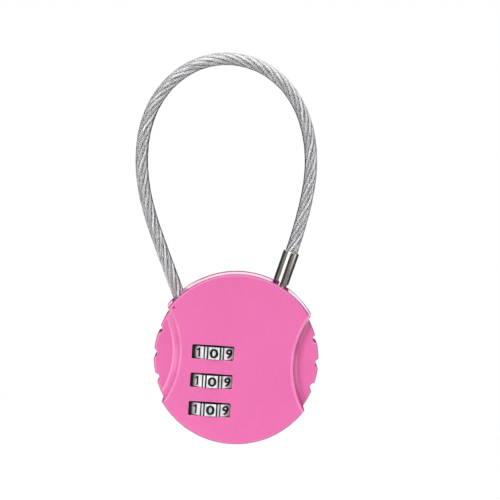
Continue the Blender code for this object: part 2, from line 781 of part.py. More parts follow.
def smooth_route(points, step):
    """Points at an even step along a Catmull-Rom curve through the given points."""
    points = [Vector(p) for p in points]
    ends = [2 * points[0] - points[1], *points, 2 * points[-1] - points[-2]]
    fine = []
    for a, b, c, d in zip(ends, ends[1:], ends[2:], ends[3:]):
        for number in range(20):
            t = number / 20
            fine.append(
                0.5 * (2 * b + (c - a) * t + (2 * a - 5 * b + 4 * c - d) * t**2
                       + (3 * b - a - 3 * c + d) * t**3)
            )
    fine.append(points[-1])
    lengths = [0.0]
    for first, second in zip(fine, fine[1:]):
        lengths.append(lengths[-1] + (second - first).length)
    count = round(lengths[-1] / step)
    route, at = [], 0
    for number in range(count + 1):
        wanted = lengths[-1] * number / count
        while at < len(lengths) - 2 and lengths[at + 1] < wanted:
            at += 1
        share = (wanted - lengths[at]) / (lengths[at + 1] - lengths[at])
        route.append(fine[at].lerp(fine[at + 1], min(share, 1.0)))
    return route


def cable_route(start, end):
    """The cable's centre line from a distance along the anchor's axis, negative inside the
    case, to a distance along the plug's axis."""
    points = [along(ANCHOR_AT, ANCHOR_LEAN, start), along(ANCHOR_AT, ANCHOR_LEAN, 6 * MM)]
    points += [(x * MM, y * MM) for x, y in LOOP_POINTS]
    points.append(along(PLUG_AT, PLUG_LEAN, end))
    return smooth_route([(x, y, CABLE_Z) for x, y in points], ROUTE_STEP)


def tube(name, route, radius, parts, mat, wall=None):
    """A round bar along a route, or a pipe where it has a wall."""
    curve = bpy.data.curves.new(name, "CURVE")
    curve.dimensions = "3D"
    curve.bevel_depth = radius
    curve.bevel_resolution = 2
    curve.use_fill_caps = wall is None
    spline = curve.splines.new("POLY")
    spline.points.add(len(route) - 1)
    for point, target in zip(route, spline.points):
        target.co = (*point, 1)
    curve.materials.append(mat)
    obj = bpy.data.objects.new(name, curve)
    parts.objects.link(obj)
    if wall:
        solidify = obj.modifiers.new("wall", "SOLIDIFY")
        solidify.thickness = wall
        solidify.offset = -1
    return place(obj, (0, 0, 0))


def cable(parts, rope_mat, jacket_mat):
    rope = cable_route(ANCHOR_FLOOR + GAP, PLUG_TOP - CRIMP_DEPTH + GAP)
    jacket = cable_route(ANCHOR_TOP + GAP, PLUG_TOP + GAP)
    tube("cable_rope", rope, ROPE_RADIUS, parts, rope_mat)
    tube("cable_jacket", jacket, CABLE_RADIUS, parts, jacket_mat, wall=JACKET_WALL)


# ---------------------------------------------------------------- reset


def reset_plunger(parts, plunger_mat, spring_mat):
    """A pin behind the pinhole, pushed forwards by its own spring."""
    profile = [
        (0, PLUNGER_TOP), (PLUNGER_RADIUS - 0.1 * MM, PLUNGER_TOP),
        (PLUNGER_RADIUS, PLUNGER_TOP - 0.2 * MM), (PLUNGER_RADIUS, PLUNGER_BOTTOM),
        (0, PLUNGER_BOTTOM),
    ]
    finish(place(turned("reset_plunger", profile, parts, steps=16), (*RESET_AT, 0)), plunger_mat)
    low, high = SEAM - GAP / 2 + GAP, PLUNGER_BOTTOM - GAP
    coil(
        "reset_spring", parts, spring_mat, RESET_COIL, RESET_WIRE, RESET_TURNS, low, high,
        (*RESET_AT, 0), (0, 0, 0),
    )


# ---------------------------------------------------------------- assembly


def build():
    clear_scene()
    parts = new_collection("cable_luggage_lock")
    cutters = new_collection("cutters")
    lock_plan = bpy.data.objects.new("lock_plan", None)
    parts.objects.link(lock_plan)
    lock_plan.rotation_euler = (math.pi / 2, 0, 0)

    edges, walls = edge_tools(cutters), wall_tools(cutters)
    entries = entry_tools(cutters)
    front_mat = material("pink_lacquer_front", (0.83, 0.18, 0.44), 0.22, 0.1)
    front_cover(parts, cutters, edges, walls, entries, front_mat)
    rear_mat = material("pink_lacquer_rear", (0.81, 0.17, 0.43), 0.24, 0.1)
    rear_cover(parts, cutters, edges, walls, entries, rear_mat)
    rivets(parts, material("rivet_steel", (0.62, 0.62, 0.63), 0.3, 1.0))

    dial_mat = material("dial_chrome", (0.72, 0.72, 0.74), 0.25, 1.0)
    brass = material("sleeve_brass", (0.68, 0.5, 0.24), 0.35, 1.0)
    for number in range(1, len(DIAL_Y) + 1):
        dial_wheel(number, parts, dial_mat)
        cam_sleeve(number, parts, cutters, brass)
    dial_frame(parts, cutters, material("frame_steel", (0.45, 0.45, 0.46), 0.45, 1.0))
    spring_steel = material("spring_steel", (0.5, 0.5, 0.52), 0.3, 1.0)
    detent_spring(parts, cutters, spring_steel)

    zinc = material("mechanism_zinc", (0.55, 0.56, 0.58), 0.4, 1.0)
    spindle(parts, cutters, zinc)
    spindle_spring(parts, spring_steel)
    locking_claw(parts, cutters, zinc)
    claw_pin(parts, spring_steel)
    plug(parts, material("plug_nickel", (0.6, 0.57, 0.54), 0.22, 1.0))
    plug_bush(parts, zinc)

    anchor(parts, cutters, material("anchor_nickel", (0.6, 0.57, 0.54), 0.3, 1.0), zinc)
    rope = material("rope_steel", (0.6, 0.6, 0.62), 0.35, 1.0)
    cable(parts, rope, material("jacket_vinyl", (0.75, 0.77, 0.79), 0.15, 0.0))
    reset_plunger(parts, material("plunger_steel", (0.25, 0.25, 0.26), 0.4, 1.0), spring_steel)


build()
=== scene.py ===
"""Looks of the cable luggage lock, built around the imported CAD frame.

Shapes are laid out on the lock's plan, seen from the front: X right, Y up, Z forwards from the
flat back. PLAN turns that plan upright into the frame, where the front faces -Y.
"""

import json
import math

import bmesh
import bpy
from mathutils import Matrix, Vector


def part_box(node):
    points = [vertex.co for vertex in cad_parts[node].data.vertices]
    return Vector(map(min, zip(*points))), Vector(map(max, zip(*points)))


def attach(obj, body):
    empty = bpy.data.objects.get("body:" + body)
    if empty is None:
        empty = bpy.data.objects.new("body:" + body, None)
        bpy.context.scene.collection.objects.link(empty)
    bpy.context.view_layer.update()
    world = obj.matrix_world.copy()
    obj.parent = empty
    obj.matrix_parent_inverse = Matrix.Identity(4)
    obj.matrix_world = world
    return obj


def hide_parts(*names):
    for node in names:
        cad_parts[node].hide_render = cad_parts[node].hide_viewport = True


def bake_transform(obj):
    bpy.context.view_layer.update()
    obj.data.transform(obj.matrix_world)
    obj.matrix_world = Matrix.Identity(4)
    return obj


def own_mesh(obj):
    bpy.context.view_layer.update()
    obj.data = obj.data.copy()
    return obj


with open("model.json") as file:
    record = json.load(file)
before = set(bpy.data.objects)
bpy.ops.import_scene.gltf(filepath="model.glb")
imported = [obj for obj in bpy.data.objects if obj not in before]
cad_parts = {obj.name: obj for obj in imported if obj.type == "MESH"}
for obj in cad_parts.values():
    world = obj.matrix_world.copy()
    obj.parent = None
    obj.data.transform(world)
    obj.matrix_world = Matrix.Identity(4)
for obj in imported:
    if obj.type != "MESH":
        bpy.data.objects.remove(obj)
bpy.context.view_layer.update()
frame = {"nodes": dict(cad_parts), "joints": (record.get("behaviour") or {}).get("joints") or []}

MM = 0.001
PAST = 1 * MM  # how far a cutting tool reaches past what it cuts
PLAN = Matrix.Rotation(math.pi / 2, 4, "X")
IN_PLACE = Matrix.Identity(4)
SMOOTH_UNDER = 32.0
JOINTS = {joint["name"]: joint for joint in frame["joints"]}

# camera, fitted to the photograph: its target's X and height, its angles in degrees
CAMERA_TARGET = (1.638 * MM, 27.078 * MM)
CAMERA_DISTANCE = 0.400
CAMERA_RISE = 3.1
CAMERA_TURN = -0.5
CAMERA_ROLL = 3.75
CAMERA_LENS = 118.0
CAMERA_SENSOR = 36.0
CAMERA_CLIP = (0.01, 20.0)

# case, sized from its CAD halves
REAR_HIGH = Vector(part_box("rear_cover")[1])
FRONT_LOW = Vector(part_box("front_cover")[0])
CASE_RADIUS = 21.5 * MM
CASE_DEPTH = REAR_HIGH.y - FRONT_LOW.y
SEAM = CASE_DEPTH / 2
SEAM_GAP = 0.10 * MM
SEAM_EDGE = 0.12 * MM
CASE_STEPS = 256
INNER_STEPS = 160
FACE_RADIUS = 20.95 * MM
RIM_ROUND = 0.5 * MM
GIRTH_TOP = 9.8 * MM
GIRTH_BOTTOM = 5.5 * MM
GIRTH_DRAFT = 0.06
HEEL_RADIUS = 20.95 * MM
BACK_ROUND = 0.9 * MM
CAVITY_RADIUS = CASE_RADIUS - 1.6 * MM
POCKET_RADIUS = CASE_RADIUS - 2.1 * MM
REAR_WALL = 1.3 * MM
FLAT_CEILING = 10.4 * MM
POCKET_CEILING = 12.6 * MM

# lowered side areas, their S-shaped step, and the smaller outline along them with its notches
SIDE_CENTRE = 35.6 * MM
SIDE_RADIUS = 21.5 * MM
SIDE_FLOOR = 11.6 * MM
SIDE_STEPS = 512
SIDE_TURN = 0.003  # keeps the steps off the other edges
STEP_TOP_ROUND = 0.7 * MM
SIDE_WALL = 1.5 * MM
EDGE_RADIUS = 20.3 * MM
EDGE_END = 32.9
EDGE_CORNER = 2.7
EDGE_ROUND = 0.5 * MM
EDGE_OUTER = CASE_RADIUS + 2.5 * MM
EDGE_WALL = 18.6 * MM
EDGE_WALL_SPAN = 36
NOTCH_RADIUS = 1.1 * MM
NOTCH_BOTTOM = 19.52 * MM
NOTCH_LIP = 0.25 * MM
NOTCH_ANGLES = (-17.0, 0.0, 17.0)

# windows and dials
DIALS = [Vector(JOINTS[f"dial_{n}_turn"]["pos_m"]) for n in (1, 2, 3)]
WINDOW_X = -5.75 * MM
WINDOW_RAISED = 0.18 * MM
WINDOW_SIZE = (10.3 * MM, 3.5 * MM)
WINDOW_ROUND = 0.16 * MM
WINDOW_CORNER = 0.3 * MM
BAFFLE_INTO_WALL = 0.02 * MM
BAFFLE_SIDE, BAFFLE_ROOF = 0.72, 0.38  # how far in, in millimetres
BAFFLE_LEVELS = ((13.04, 0), (13.42, 0), (13.50, 0.03), (13.53, 0.10))
FACETS = 10
DIAL_LOW, DIAL_HIGH = (Vector(corner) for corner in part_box("dial_wheel_1"))
DIAL_THICKNESS = DIAL_HIGH.z - DIAL_LOW.z
DIAL_FLAT = DIALS[0].y - DIAL_LOW.y
DIAL_CHAMFER = 0.1 * MM
DIAL_BORE = 4.2 * MM
DIAL_BORE_HALF = 3 * MM
GROOVE_DEPTH = 0.35 * MM
RIDGE_DROP = 0.05 * MM
DIGIT_HEIGHT = 2.35 * MM
DIGIT_WIDER = 1.38
DIGIT_THICKNESS = 0.02 * MM

# entries, plug and cable
CABLE_Z = SEAM
PLUG_AT = (10.0 * MM, 19.6 * MM)
PLUG_LEAN = 15.5
PLUG_RADIUS = 2.0 * MM
PLUG_TOP = 7.65 * MM
PLUG_BORE = 1.25 * MM
PLUG_BORE_DEPTH = 5 * MM
PLUG_LIP = 0.3 * MM
PLUG_EDGE = 0.12 * MM
PLUG_COLLAR = (1.65 * MM, -0.6 * MM, -2.9 * MM)  # radius, top, foot
PLUG_NECK = (0.9 * MM, -4.6 * MM)  # radius, foot
PLUG_TIP = (
    (1.75 * MM, -6.9 * MM), (1.62 * MM, -7.1 * MM), (1.05 * MM, -7.6 * MM), (0, -7.6 * MM),
)
HOLE_PLAY = 0.12 * MM
HOLE_REACH = 5 * MM
SLOT_PLAY = 0.17 * MM
SLOT_START = -4 * MM
ANCHOR_AT = (-15.55 * MM, 15.1 * MM)
ANCHOR_LEAN = -23.8
CABLE_RADIUS = 1.55 * MM
JACKET_DIP = 0.012 * MM
STRANDS = 6
STRAND_RADIUS = 0.44 * MM
STRAND_CIRCLE = 0.88 * MM
ROPE_PITCH = -18.5 * MM
WIRES = 7
WIRE_TWIST = 0.12
WIRE_DEPTH = 0.08
ROUTE_STEP = 0.6 * MM
ROPE_START, ROPE_END = -8.4 * MM, PLUG_TOP - 4.7 * MM
JACKET_START, JACKET_END = -3.2 * MM, PLUG_TOP + 0.05 * MM
# X and height of the loop's middle line, in metres
LOOP_POINTS = (
    (-0.0203, 0.0259), (-0.0232, 0.0329), (-0.0254, 0.0400), (-0.0265, 0.0474),
    (-0.0261, 0.0549), (-0.0238, 0.0620), (-0.0194, 0.0680), (-0.0131, 0.0721),
    (-0.0058, 0.0735), (0.0015, 0.0720), (0.0077, 0.0679), (0.0121, 0.0619), (0.0146, 0.0548),
    (0.0154, 0.0474), (0.0148, 0.0399), (0.0134, 0.0325),
)

# rivets and pinhole
RIVETS = ((-16.9 * MM, 0.0), (15.0 * MM, 8.4 * MM), (9.5 * MM, -14.6 * MM))
RIVET_HEAD = 1.36 * MM
RIVET_SHANK = 0.65 * MM
RIVET_UNDER_HEAD = 1.05 * MM
RIVET_TOP = 9.2 * MM
RIVET_SUNK = 0.12 * MM
RIVET_DOME = 0.25 * MM
RIVET_BORE = 0.8 * MM
RIVET_SEAT = (1.42 * MM, 1.35 * MM)
BOSS_RADIUS = 1.6 * MM
RESET_AT = (-16.05 * MM, 11.8 * MM)
PINHOLE_RADIUS = 0.25 * MM

# coil springs: wire radius, turns, and how much shorter each one gets
SPINDLE_WIRE, SPINDLE_TURNS, SPINDLE_TRAVEL = 0.2 * MM, 4, 1.7 * MM
RESET_WIRE, RESET_TURNS, RESET_TRAVEL = 0.1 * MM, 5, 0.8 * MM
COIL_STEPS, COIL_SIDES, COIL_END = 24, 10, 0.08

# floor
FLOOR_HALF = 0.20
FLOOR_AT = (0, 0.08, -0.060)


# ---------------- camera


def aim_camera():
    """Looks at the lock from slightly above, a little turned, as the photograph does."""
    target = Vector((CAMERA_TARGET[0], -CASE_DEPTH, CAMERA_TARGET[1]))
    elevation, azimuth = math.radians(CAMERA_RISE), math.radians(CAMERA_TURN)
    away = Vector((
        math.sin(azimuth) * math.cos(elevation),
        -math.cos(azimuth) * math.cos(elevation),
        math.sin(elevation),
    ))
    data = bpy.data.cameras.new("camera")
    data.lens = CAMERA_LENS
    data.sensor_width = CAMERA_SENSOR
    data.clip_start, data.clip_end = CAMERA_CLIP
    camera = bpy.data.objects.new("camera", data)
    bpy.context.scene.collection.objects.link(camera)
    camera.location = target + away * CAMERA_DISTANCE
    look = (-away).to_track_quat("-Z", "Y").to_matrix().to_4x4()
    turn = Matrix.Rotation(math.radians(CAMERA_ROLL), 4, "Z")
    camera.rotation_euler = (look @ turn).to_euler()
    bpy.context.scene.camera = camera


# ---------------- mesh helpers


def add(name, bm, matrix):
    """A mesh object from a bmesh."""
    mesh = bpy.data.meshes.new(name)
    bm.to_mesh(mesh)
    bm.free()
    obj = bpy.data.objects.new(name, mesh)
    bpy.context.scene.collection.objects.link(obj)
    obj.matrix_world = matrix
    return obj


def settle(obj, smooth=SMOOTH_UNDER, weighted=False):
    """Applies an object's modifiers and place, and shades it smooth up to an angle."""
    bpy.context.view_layer.update()
    graph = bpy.context.evaluated_depsgraph_get()
    mesh = bpy.data.meshes.new_from_object(obj.evaluated_get(graph))
    mesh.transform(obj.matrix_world)
    mesh.name = obj.name
    old = obj.data
    obj.modifiers.clear()
    obj.data = mesh
    obj.matrix_world = IN_PLACE
    bpy.data.meshes.remove(old)
    mesh.shade_smooth()
    mesh.set_sharp_from_angle(angle=math.radians(smooth))
    if weighted:
        modifier = obj.modifiers.new("normals", "WEIGHTED_NORMAL")
        modifier.keep_sharp = True
        modifier.weight = 100
    return obj


def boolean(obj, tools):
    """Cuts tools out of an object. They have to stay until it is settled."""
    for tool in tools:
        modifier = obj.modifiers.new(tool.name, "BOOLEAN")
        modifier.operation = "DIFFERENCE"
        modifier.object = tool
        modifier.solver = "EXACT"


def discard(tools):
    for tool in tools:
        bpy.data.objects.remove(tool, do_unlink=True)


def arc(centre, radius, start, end, count):
    """Points of an arc in a profile, from one angle to another in degrees."""
    angles = [math.radians(start + (end - start) * n / count) for n in range(count + 1)]
    return [(centre[0] + radius * math.cos(a), centre[1] + radius * math.sin(a)) for a in angles]


def lathe(name, profile, steps, place=IN_PLACE, start=0.0):
    """A turned solid about its own Z, from (radius, height) points down its outer side."""
    bm = bmesh.new()
    rings = []
    for radius, height in profile:
        if radius < 1e-9:
            rings.append([bm.verts.new((0, 0, height))])
            continue
        angles = [start + 2 * math.pi * n / steps for n in range(steps)]
        rings.append([
            bm.verts.new((radius * math.cos(a), radius * math.sin(a), height)) for a in angles
        ])
    for upper, lower in zip(rings, rings[1:]):
        flat = abs(upper[0].co.z - lower[0].co.z) < 1e-9
        if flat and 1 in (len(upper), len(lower)):
            bm.faces.new(lower if len(upper) == 1 else upper)
            continue
        for n in range(steps):
            m = (n + 1) % steps
            if len(upper) == 1:
                bm.faces.new((upper[0], lower[n], lower[m]))
            elif len(lower) == 1:
                bm.faces.new((upper[n], lower[0], upper[m]))
            else:
                bm.faces.new((upper[n], lower[n], lower[m], upper[m]))
    loose = [vert for vert in bm.verts if not vert.link_faces]
    bmesh.ops.delete(bm, geom=loose, context="VERTS")
    bmesh.ops.recalc_face_normals(bm, faces=bm.faces)
    return add(name, bm, PLAN @ place)


def loft(name, rings, matrix=PLAN):
    """A solid through rings of equal length, capped at both ends."""
    bm = bmesh.new()
    rows = [[bm.verts.new(p) for p in ring] for ring in rings]
    count = len(rows[0])
    for first, second in zip(rows, rows[1:]):
        for n in range(count):
            m = (n + 1) % count
            bm.faces.new((first[n], first[m], second[m], second[n]))
    bm.faces.new(rows[0][::-1])
    bm.faces.new(rows[-1])
    bmesh.ops.recalc_face_normals(bm, faces=bm.faces)
    return add(name, bm, matrix)


def at(x, y, z=0.0):
    return Matrix.Translation((x, y, z))


def along(point, lean, distance):
    """The plan point at a distance along an axis that leans right of Y by some degrees."""
    angle = math.radians(lean)
    return point[0] + distance * math.sin(angle), point[1] + distance * math.cos(angle)


def on_axis(point, lean):
    """The place of a turned shape whose own Z runs along a leaning axis in the cable's plane."""
    turn = Matrix.Rotation(math.radians(-lean), 4, "Z") @ Matrix.Rotation(-math.pi / 2, 4, "X")
    return at(*point, CABLE_Z) @ turn


# ---------------- materials

PINK_DRIFT = [(0.3, (0.81, 0.156, 0.420)), (0.7, (0.85, 0.170, 0.448))]
# the next four colours are painted light: three of painted shade, then one painted highlight
RIM_PAINTED_SHADE = (0.18, 0.03, 0.10)
WINDOW_PAINTED_SHADE = (0.03, 0.006, 0.016)
STEP_SHADE = (0.44, 0.03, 0.17)
STEP_PAINTED_HIGHLIGHT = (0.98, 0.25, 0.58)
SATIN_BRUSH = [(0.38, (0.56, 0.56, 0.58)), (0.60, (0.97, 0.97, 0.98))]
# painted shade for the dial's grooves and sides
GROOVE_PAINTED_SHADE = (0.014, 0.013, 0.014)
INK_WEAR = [(0.3, (0.004, 0.004, 0.005)), (0.75, (0.02, 0.02, 0.022))]
VINYL_HAZE = [(0.3, (0.985, 0.988, 0.99)), (0.7, (0.998, 0.998, 1.0))]
# the next two colours are painted shade lines on the cable's coating
VINYL_OUTER_PAINTED_SHADE = (0.25, 0.25, 0.27)
VINYL_INNER_PAINTED_SHADE = (0.03, 0.03, 0.03)
# wire colours, darkest where painted shade lies in the valleys between wires
WIRE_STEEL_AND_SHADE = [(0.0, (0.06, 0.06, 0.07)), (0.24, (0.92, 0.92, 0.95)), (1.0, (0.99, 0.99, 1.0))]
FLOOR_WHITE = [(0.3, (0.86,) * 3), (0.7, (0.88,) * 3)]
NOISE_LOW, NOISE_HIGH = 0.3, 0.7


def new_material(name):
    mat = bpy.data.materials.new(name)
    mat.use_nodes = True
    return mat, mat.node_tree, mat.node_tree.nodes["Principled BSDF"]


def set_sockets(node, **values):
    for name, value in values.items():
        node.inputs[name.replace("_", " ")].default_value = value


def coordinates(tree, kind="Object"):
    return tree.nodes.new("ShaderNodeTexCoord").outputs[kind]


def split(tree, vector):
    """A vector's X, Y and Z."""
    node = tree.nodes.new("ShaderNodeSeparateXYZ")
    tree.links.new(vector, node.inputs["Vector"])
    return [node.outputs[axis] for axis in "XYZ"]


def noise(tree, vector, scale, detail=3.0, roughness=0.5):
    node = tree.nodes.new("ShaderNodeTexNoise")
    set_sockets(node, Scale=scale, Detail=detail, Roughness=roughness)
    tree.links.new(vector, node.inputs["Vector"])
    return node.outputs["Fac"]


def stretch(tree, vector, scale):
    node = tree.nodes.new("ShaderNodeMapping")
    set_sockets(node, Scale=scale)
    tree.links.new(vector, node.inputs["Vector"])
    return node.outputs["Vector"]


def remap(tree, value, low, high):
    """A noise's usual range spread between two values."""
    node = tree.nodes.new("ShaderNodeMapRange")
    set_sockets(node, From_Min=NOISE_LOW, From_Max=NOISE_HIGH, To_Min=low, To_Max=high)
    tree.links.new(value, node.inputs["Value"])
    return node.outputs["Result"]


def ramp(tree, value, stops):
    node = tree.nodes.new("ShaderNodeValToRGB")
    elements = node.color_ramp.elements
    while len(elements) < len(stops):
        elements.new(0.5)
    for element, (position, colour) in zip(elements, stops):
        element.position = position
        element.color = (*colour, 1.0)
    tree.links.new(value, node.inputs["Fac"])
    return node.outputs["Color"]


def bump(tree, height, shader, strength, distance):
    node = tree.nodes.new("ShaderNodeBump")
    set_sockets(node, Strength=strength, Distance=distance)
    tree.links.new(height, node.inputs["Height"])
    tree.links.new(node.outputs["Normal"], shader.inputs["Normal"])


def maths(tree, operation, *values):
    node = tree.nodes.new("ShaderNodeMath")
    node.operation = operation
    for socket, value in zip(node.inputs, values):
        if isinstance(value, (int, float)):
            socket.default_value = value
        else:
            tree.links.new(value, socket)
    return node.outputs["Value"]


def times(tree, first, second):
    return maths(tree, "MULTIPLY", first, second)


def minus(tree, first, second):
    return maths(tree, "SUBTRACT", first, second)


def hypot(tree, across, up):
    squares = [times(tree, value, value) for value in (across, up)]
    return maths(tree, "SQRT", maths(tree, "ADD", *squares))


def rise(tree, value, middle, soft):
    """0 well below the middle, 1 well above it."""
    node = tree.nodes.new("ShaderNodeMapRange")
    node.interpolation_type = "SMOOTHSTEP"
    set_sockets(node, From_Min=middle - soft, From_Max=middle + soft)
    tree.links.new(value, node.inputs["Value"])
    return node.outputs["Result"]


def band(tree, value, low, high, soft):
    """1 between two limits, fading to 0 outside them."""
    return minus(tree, rise(tree, value, low, soft), rise(tree, value, high, soft))


def tint(tree, mask, base, colour, amount=None):
    """A colour laid over another where the mask is 1, as much as the amount says."""
    node = tree.nodes.new("ShaderNodeMix")
    node.data_type = "RGBA"
    tree.links.new(times(tree, mask, amount) if amount else mask, node.inputs["Factor"])
    tree.links.new(base, node.inputs["A"])
    node.inputs["B"].default_value = (*colour, 1.0)
    return node.outputs["Result"]


def pink_lacquer(name):
    """Glossy pink paint over cast zinc: a slight drift of colour and an orange-peel skin. Painted
    shade darkens the face's rim, the set-in edges, the girth's crest and the foot of the right
    side's step, a painted highlight lightens that step's lip, and painted shade makes the window
    walls nearly black."""
    mat, tree, shader = new_material(name)
    place = coordinates(tree)
    colour = ramp(tree, noise(tree, place, 60.0, 2.0), PINK_DRIFT)
    x, y, height = split(tree, place)
    depth, radius = times(tree, y, -1.0), hypot(tree, x, height)

    # painted shade: a dark line along the face's rim
    rim = band(tree, radius, FACE_RADIUS - 0.22 * MM, FACE_RADIUS + 0.04 * MM, 0.06 * MM)
    rim = times(tree, rim, rise(tree, depth, CASE_DEPTH - 0.6 * MM, 0.1 * MM))
    colour = tint(tree, rim, colour, RIM_PAINTED_SHADE, 0.95)

    # painted shade: a dark line along the set-in edges, where they meet the side floors
    edge = band(tree, radius, EDGE_RADIUS - 0.16 * MM, EDGE_RADIUS + 0.03 * MM, 0.03 * MM)
    fold = band(tree, depth, SIDE_FLOOR - 0.6 * MM, SIDE_FLOOR + 0.03 * MM, 0.03 * MM)
    colour = tint(tree, times(tree, edge, fold), colour, RIM_PAINTED_SHADE, 0.8)

    # painted shade: a darker band over the girth's crest
    crest = band(tree, depth, GIRTH_TOP - 0.1 * MM, GIRTH_TOP + 1.0 * MM, 0.25 * MM)
    crest = times(tree, crest, rise(tree, radius, CASE_RADIUS - 0.3 * MM, 0.1 * MM))
    colour = tint(tree, crest, colour, RIM_PAINTED_SHADE, 0.6)

    # painted shade at the foot of the right side's step, fading out over its floor
    step = hypot(tree, minus(tree, x, SIDE_CENTRE), height)
    front = rise(tree, depth, SIDE_FLOOR - 0.3 * MM, 0.1 * MM)
    foot = minus(
        tree, rise(tree, step, SIDE_RADIUS - 1.3 * MM, 1.5 * MM),
        rise(tree, step, SIDE_RADIUS + 0.05 * MM, 0.05 * MM),
    )
    foot = times(tree, maths(tree, "MAXIMUM", foot, 0.0), front)
    colour = tint(tree, foot, colour, STEP_SHADE, 0.75)
    # painted highlight along the right step's lip
    lip = band(tree, step, SIDE_RADIUS + 0.12 * MM, SIDE_RADIUS + 0.75 * MM, 0.1 * MM)
    colour = tint(tree, times(tree, lip, front), colour, STEP_PAINTED_HIGHLIGHT, 0.8)

    # painted shade: nearly black on the window walls
    low, high = DIALS[2].z - DIAL_THICKNESS, DIALS[0].z + DIAL_THICKNESS
    half = WINDOW_SIZE[0] / 2 + 0.3 * MM
    inside = band(tree, depth, FLAT_CEILING, CASE_DEPTH - 0.60 * MM, 0.20 * MM)
    for value, start, end in ((x, WINDOW_X - half, WINDOW_X + half), (height, low, high)):
        inside = times(tree, inside, band(tree, value, start, end, 0.02 * MM))
    colour = tint(tree, inside, colour, WINDOW_PAINTED_SHADE)

    tree.links.new(colour, shader.inputs["Base Color"])
    specks = noise(tree, place, 5200.0, 2.0)
    tree.links.new(remap(tree, specks, 0.24, 0.32), shader.inputs["Roughness"])
    bump(tree, noise(tree, place, 950.0, 1.5), shader, 0.06, 0.02 * MM)
    set_sockets(
        shader, Coat_Weight=1.0, Coat_Roughness=0.04, Coat_IOR=1.55, Specular_IOR_Level=0.45
    )
    return mat


def brushed_metal(name, dark, light, rough, grain, scale, strength=0.15):
    """Metal with fine marks drawn out along one axis: grain is its mapping scale."""
    mat, tree, shader = new_material(name)
    place = coordinates(tree)
    marks = noise(tree, stretch(tree, place, grain), scale, 4.0, 0.6)
    clouds = noise(tree, place, 180.0, 3.0)
    tree.links.new(ramp(tree, clouds, [(0.35, dark), (0.65, light)]), shader.inputs["Base Color"])
    tree.links.new(remap(tree, marks, *rough), shader.inputs["Roughness"])
    bump(tree, marks, shader, strength, 0.01 * MM)
    set_sockets(shader, Metallic=1.0)
    return mat


def dial_satin(name):
    """Satin metal with upright brush marks, and painted shade, near black, in the grooves and on
    the sides.
    """
    mat, tree, shader = new_material(name)
    place = coordinates(tree)
    marks = noise(tree, stretch(tree, place, (9.0, 9.0, 0.6)), 420.0, 4.0, 0.6)
    x, y, _ = split(tree, place)
    radius = hypot(tree, minus(tree, x, DIALS[0].x), minus(tree, y, DIALS[0].y))
    # painted shade: near black, and less metallic, in the grooves and on the wheel's sides
    groove_shade = minus(tree, 1.0, rise(tree, radius, DIAL_FLAT - 0.16 * MM, 0.05 * MM))
    colour = tint(tree, groove_shade, ramp(tree, marks, SATIN_BRUSH), GROOVE_PAINTED_SHADE)
    tree.links.new(colour, shader.inputs["Base Color"])
    tree.links.new(remap(tree, marks, 0.22, 0.42), shader.inputs["Roughness"])
    bump(tree, marks, shader, 0.5, 0.01 * MM)
    tree.links.new(maths(tree, "MULTIPLY_ADD", groove_shade, -0.22, 0.22), shader.inputs["Metallic"])
    set_sockets(shader, Specular_IOR_Level=0.25)
    return mat


def ink(name):
    """Nearly black, a little worn."""
    mat, tree, shader = new_material(name)
    wear = noise(tree, coordinates(tree), 3000.0, 3.0)
    tree.links.new(ramp(tree, wear, INK_WEAR), shader.inputs["Base Color"])
    tree.links.new(remap(tree, wear, 0.3, 0.5), shader.inputs["Roughness"])
    set_sockets(shader, Specular_IOR_Level=0.15)
    return mat


def clear_vinyl(name):
    """Clear vinyl, faintly hazed, with two painted shade lines: a grey one along the loop's outer
    side and a thinner, darker one along its inner side."""
    mat, tree, shader = new_material(name)
    place = coordinates(tree)
    haze = noise(tree, place, 400.0, 3.0)
    tree.links.new(remap(tree, haze, 0.02, 0.10), shader.inputs["Roughness"])
    bump(tree, noise(tree, place, 1100.0, 2.0), shader, 0.12, 0.02 * MM)
    _, turn, _ = split(tree, coordinates(tree, "UV"))
    # painted shade: a grey line along the loop's outer side
    outer = minus(tree, 1.0, band(tree, turn, 0.055, 0.945, 0.02))
    colour = tint(tree, outer, ramp(tree, haze, VINYL_HAZE), VINYL_OUTER_PAINTED_SHADE, 0.6)
    # painted shade: a thin dark line along the loop's inner side
    colour = tint(tree, band(tree, turn, 0.435, 0.565, 0.012), colour, VINYL_INNER_PAINTED_SHADE)
    tree.links.new(colour, shader.inputs["Base Color"])
    set_sockets(shader, Transmission_Weight=1.0, IOR=1.46)
    return mat


def rope_steel(name):
    """Bright wires with painted shade in the lines between them."""
    mat, tree, shader = new_material(name)
    length, turn, _ = split(tree, coordinates(tree, "UV"))
    phase = maths(tree, "MULTIPLY_ADD", turn, float(WIRES), times(tree, length, WIRE_TWIST))
    wave = maths(tree, "COSINE", times(tree, phase, 2 * math.pi))
    # painted shade in the valleys between the wires
    wires = ramp(tree, maths(tree, "MULTIPLY_ADD", wave, 0.5, 0.5), WIRE_STEEL_AND_SHADE)
    tree.links.new(wires, shader.inputs["Base Color"])
    scuffs = noise(tree, coordinates(tree), 5000.0, 4.0, 0.6)
    tree.links.new(remap(tree, scuffs, 0.20, 0.36), shader.inputs["Roughness"])
    bump(tree, scuffs, shader, 0.15, 0.01 * MM)
    set_sockets(shader, Metallic=0.55)
    return mat


MATERIALS = {}


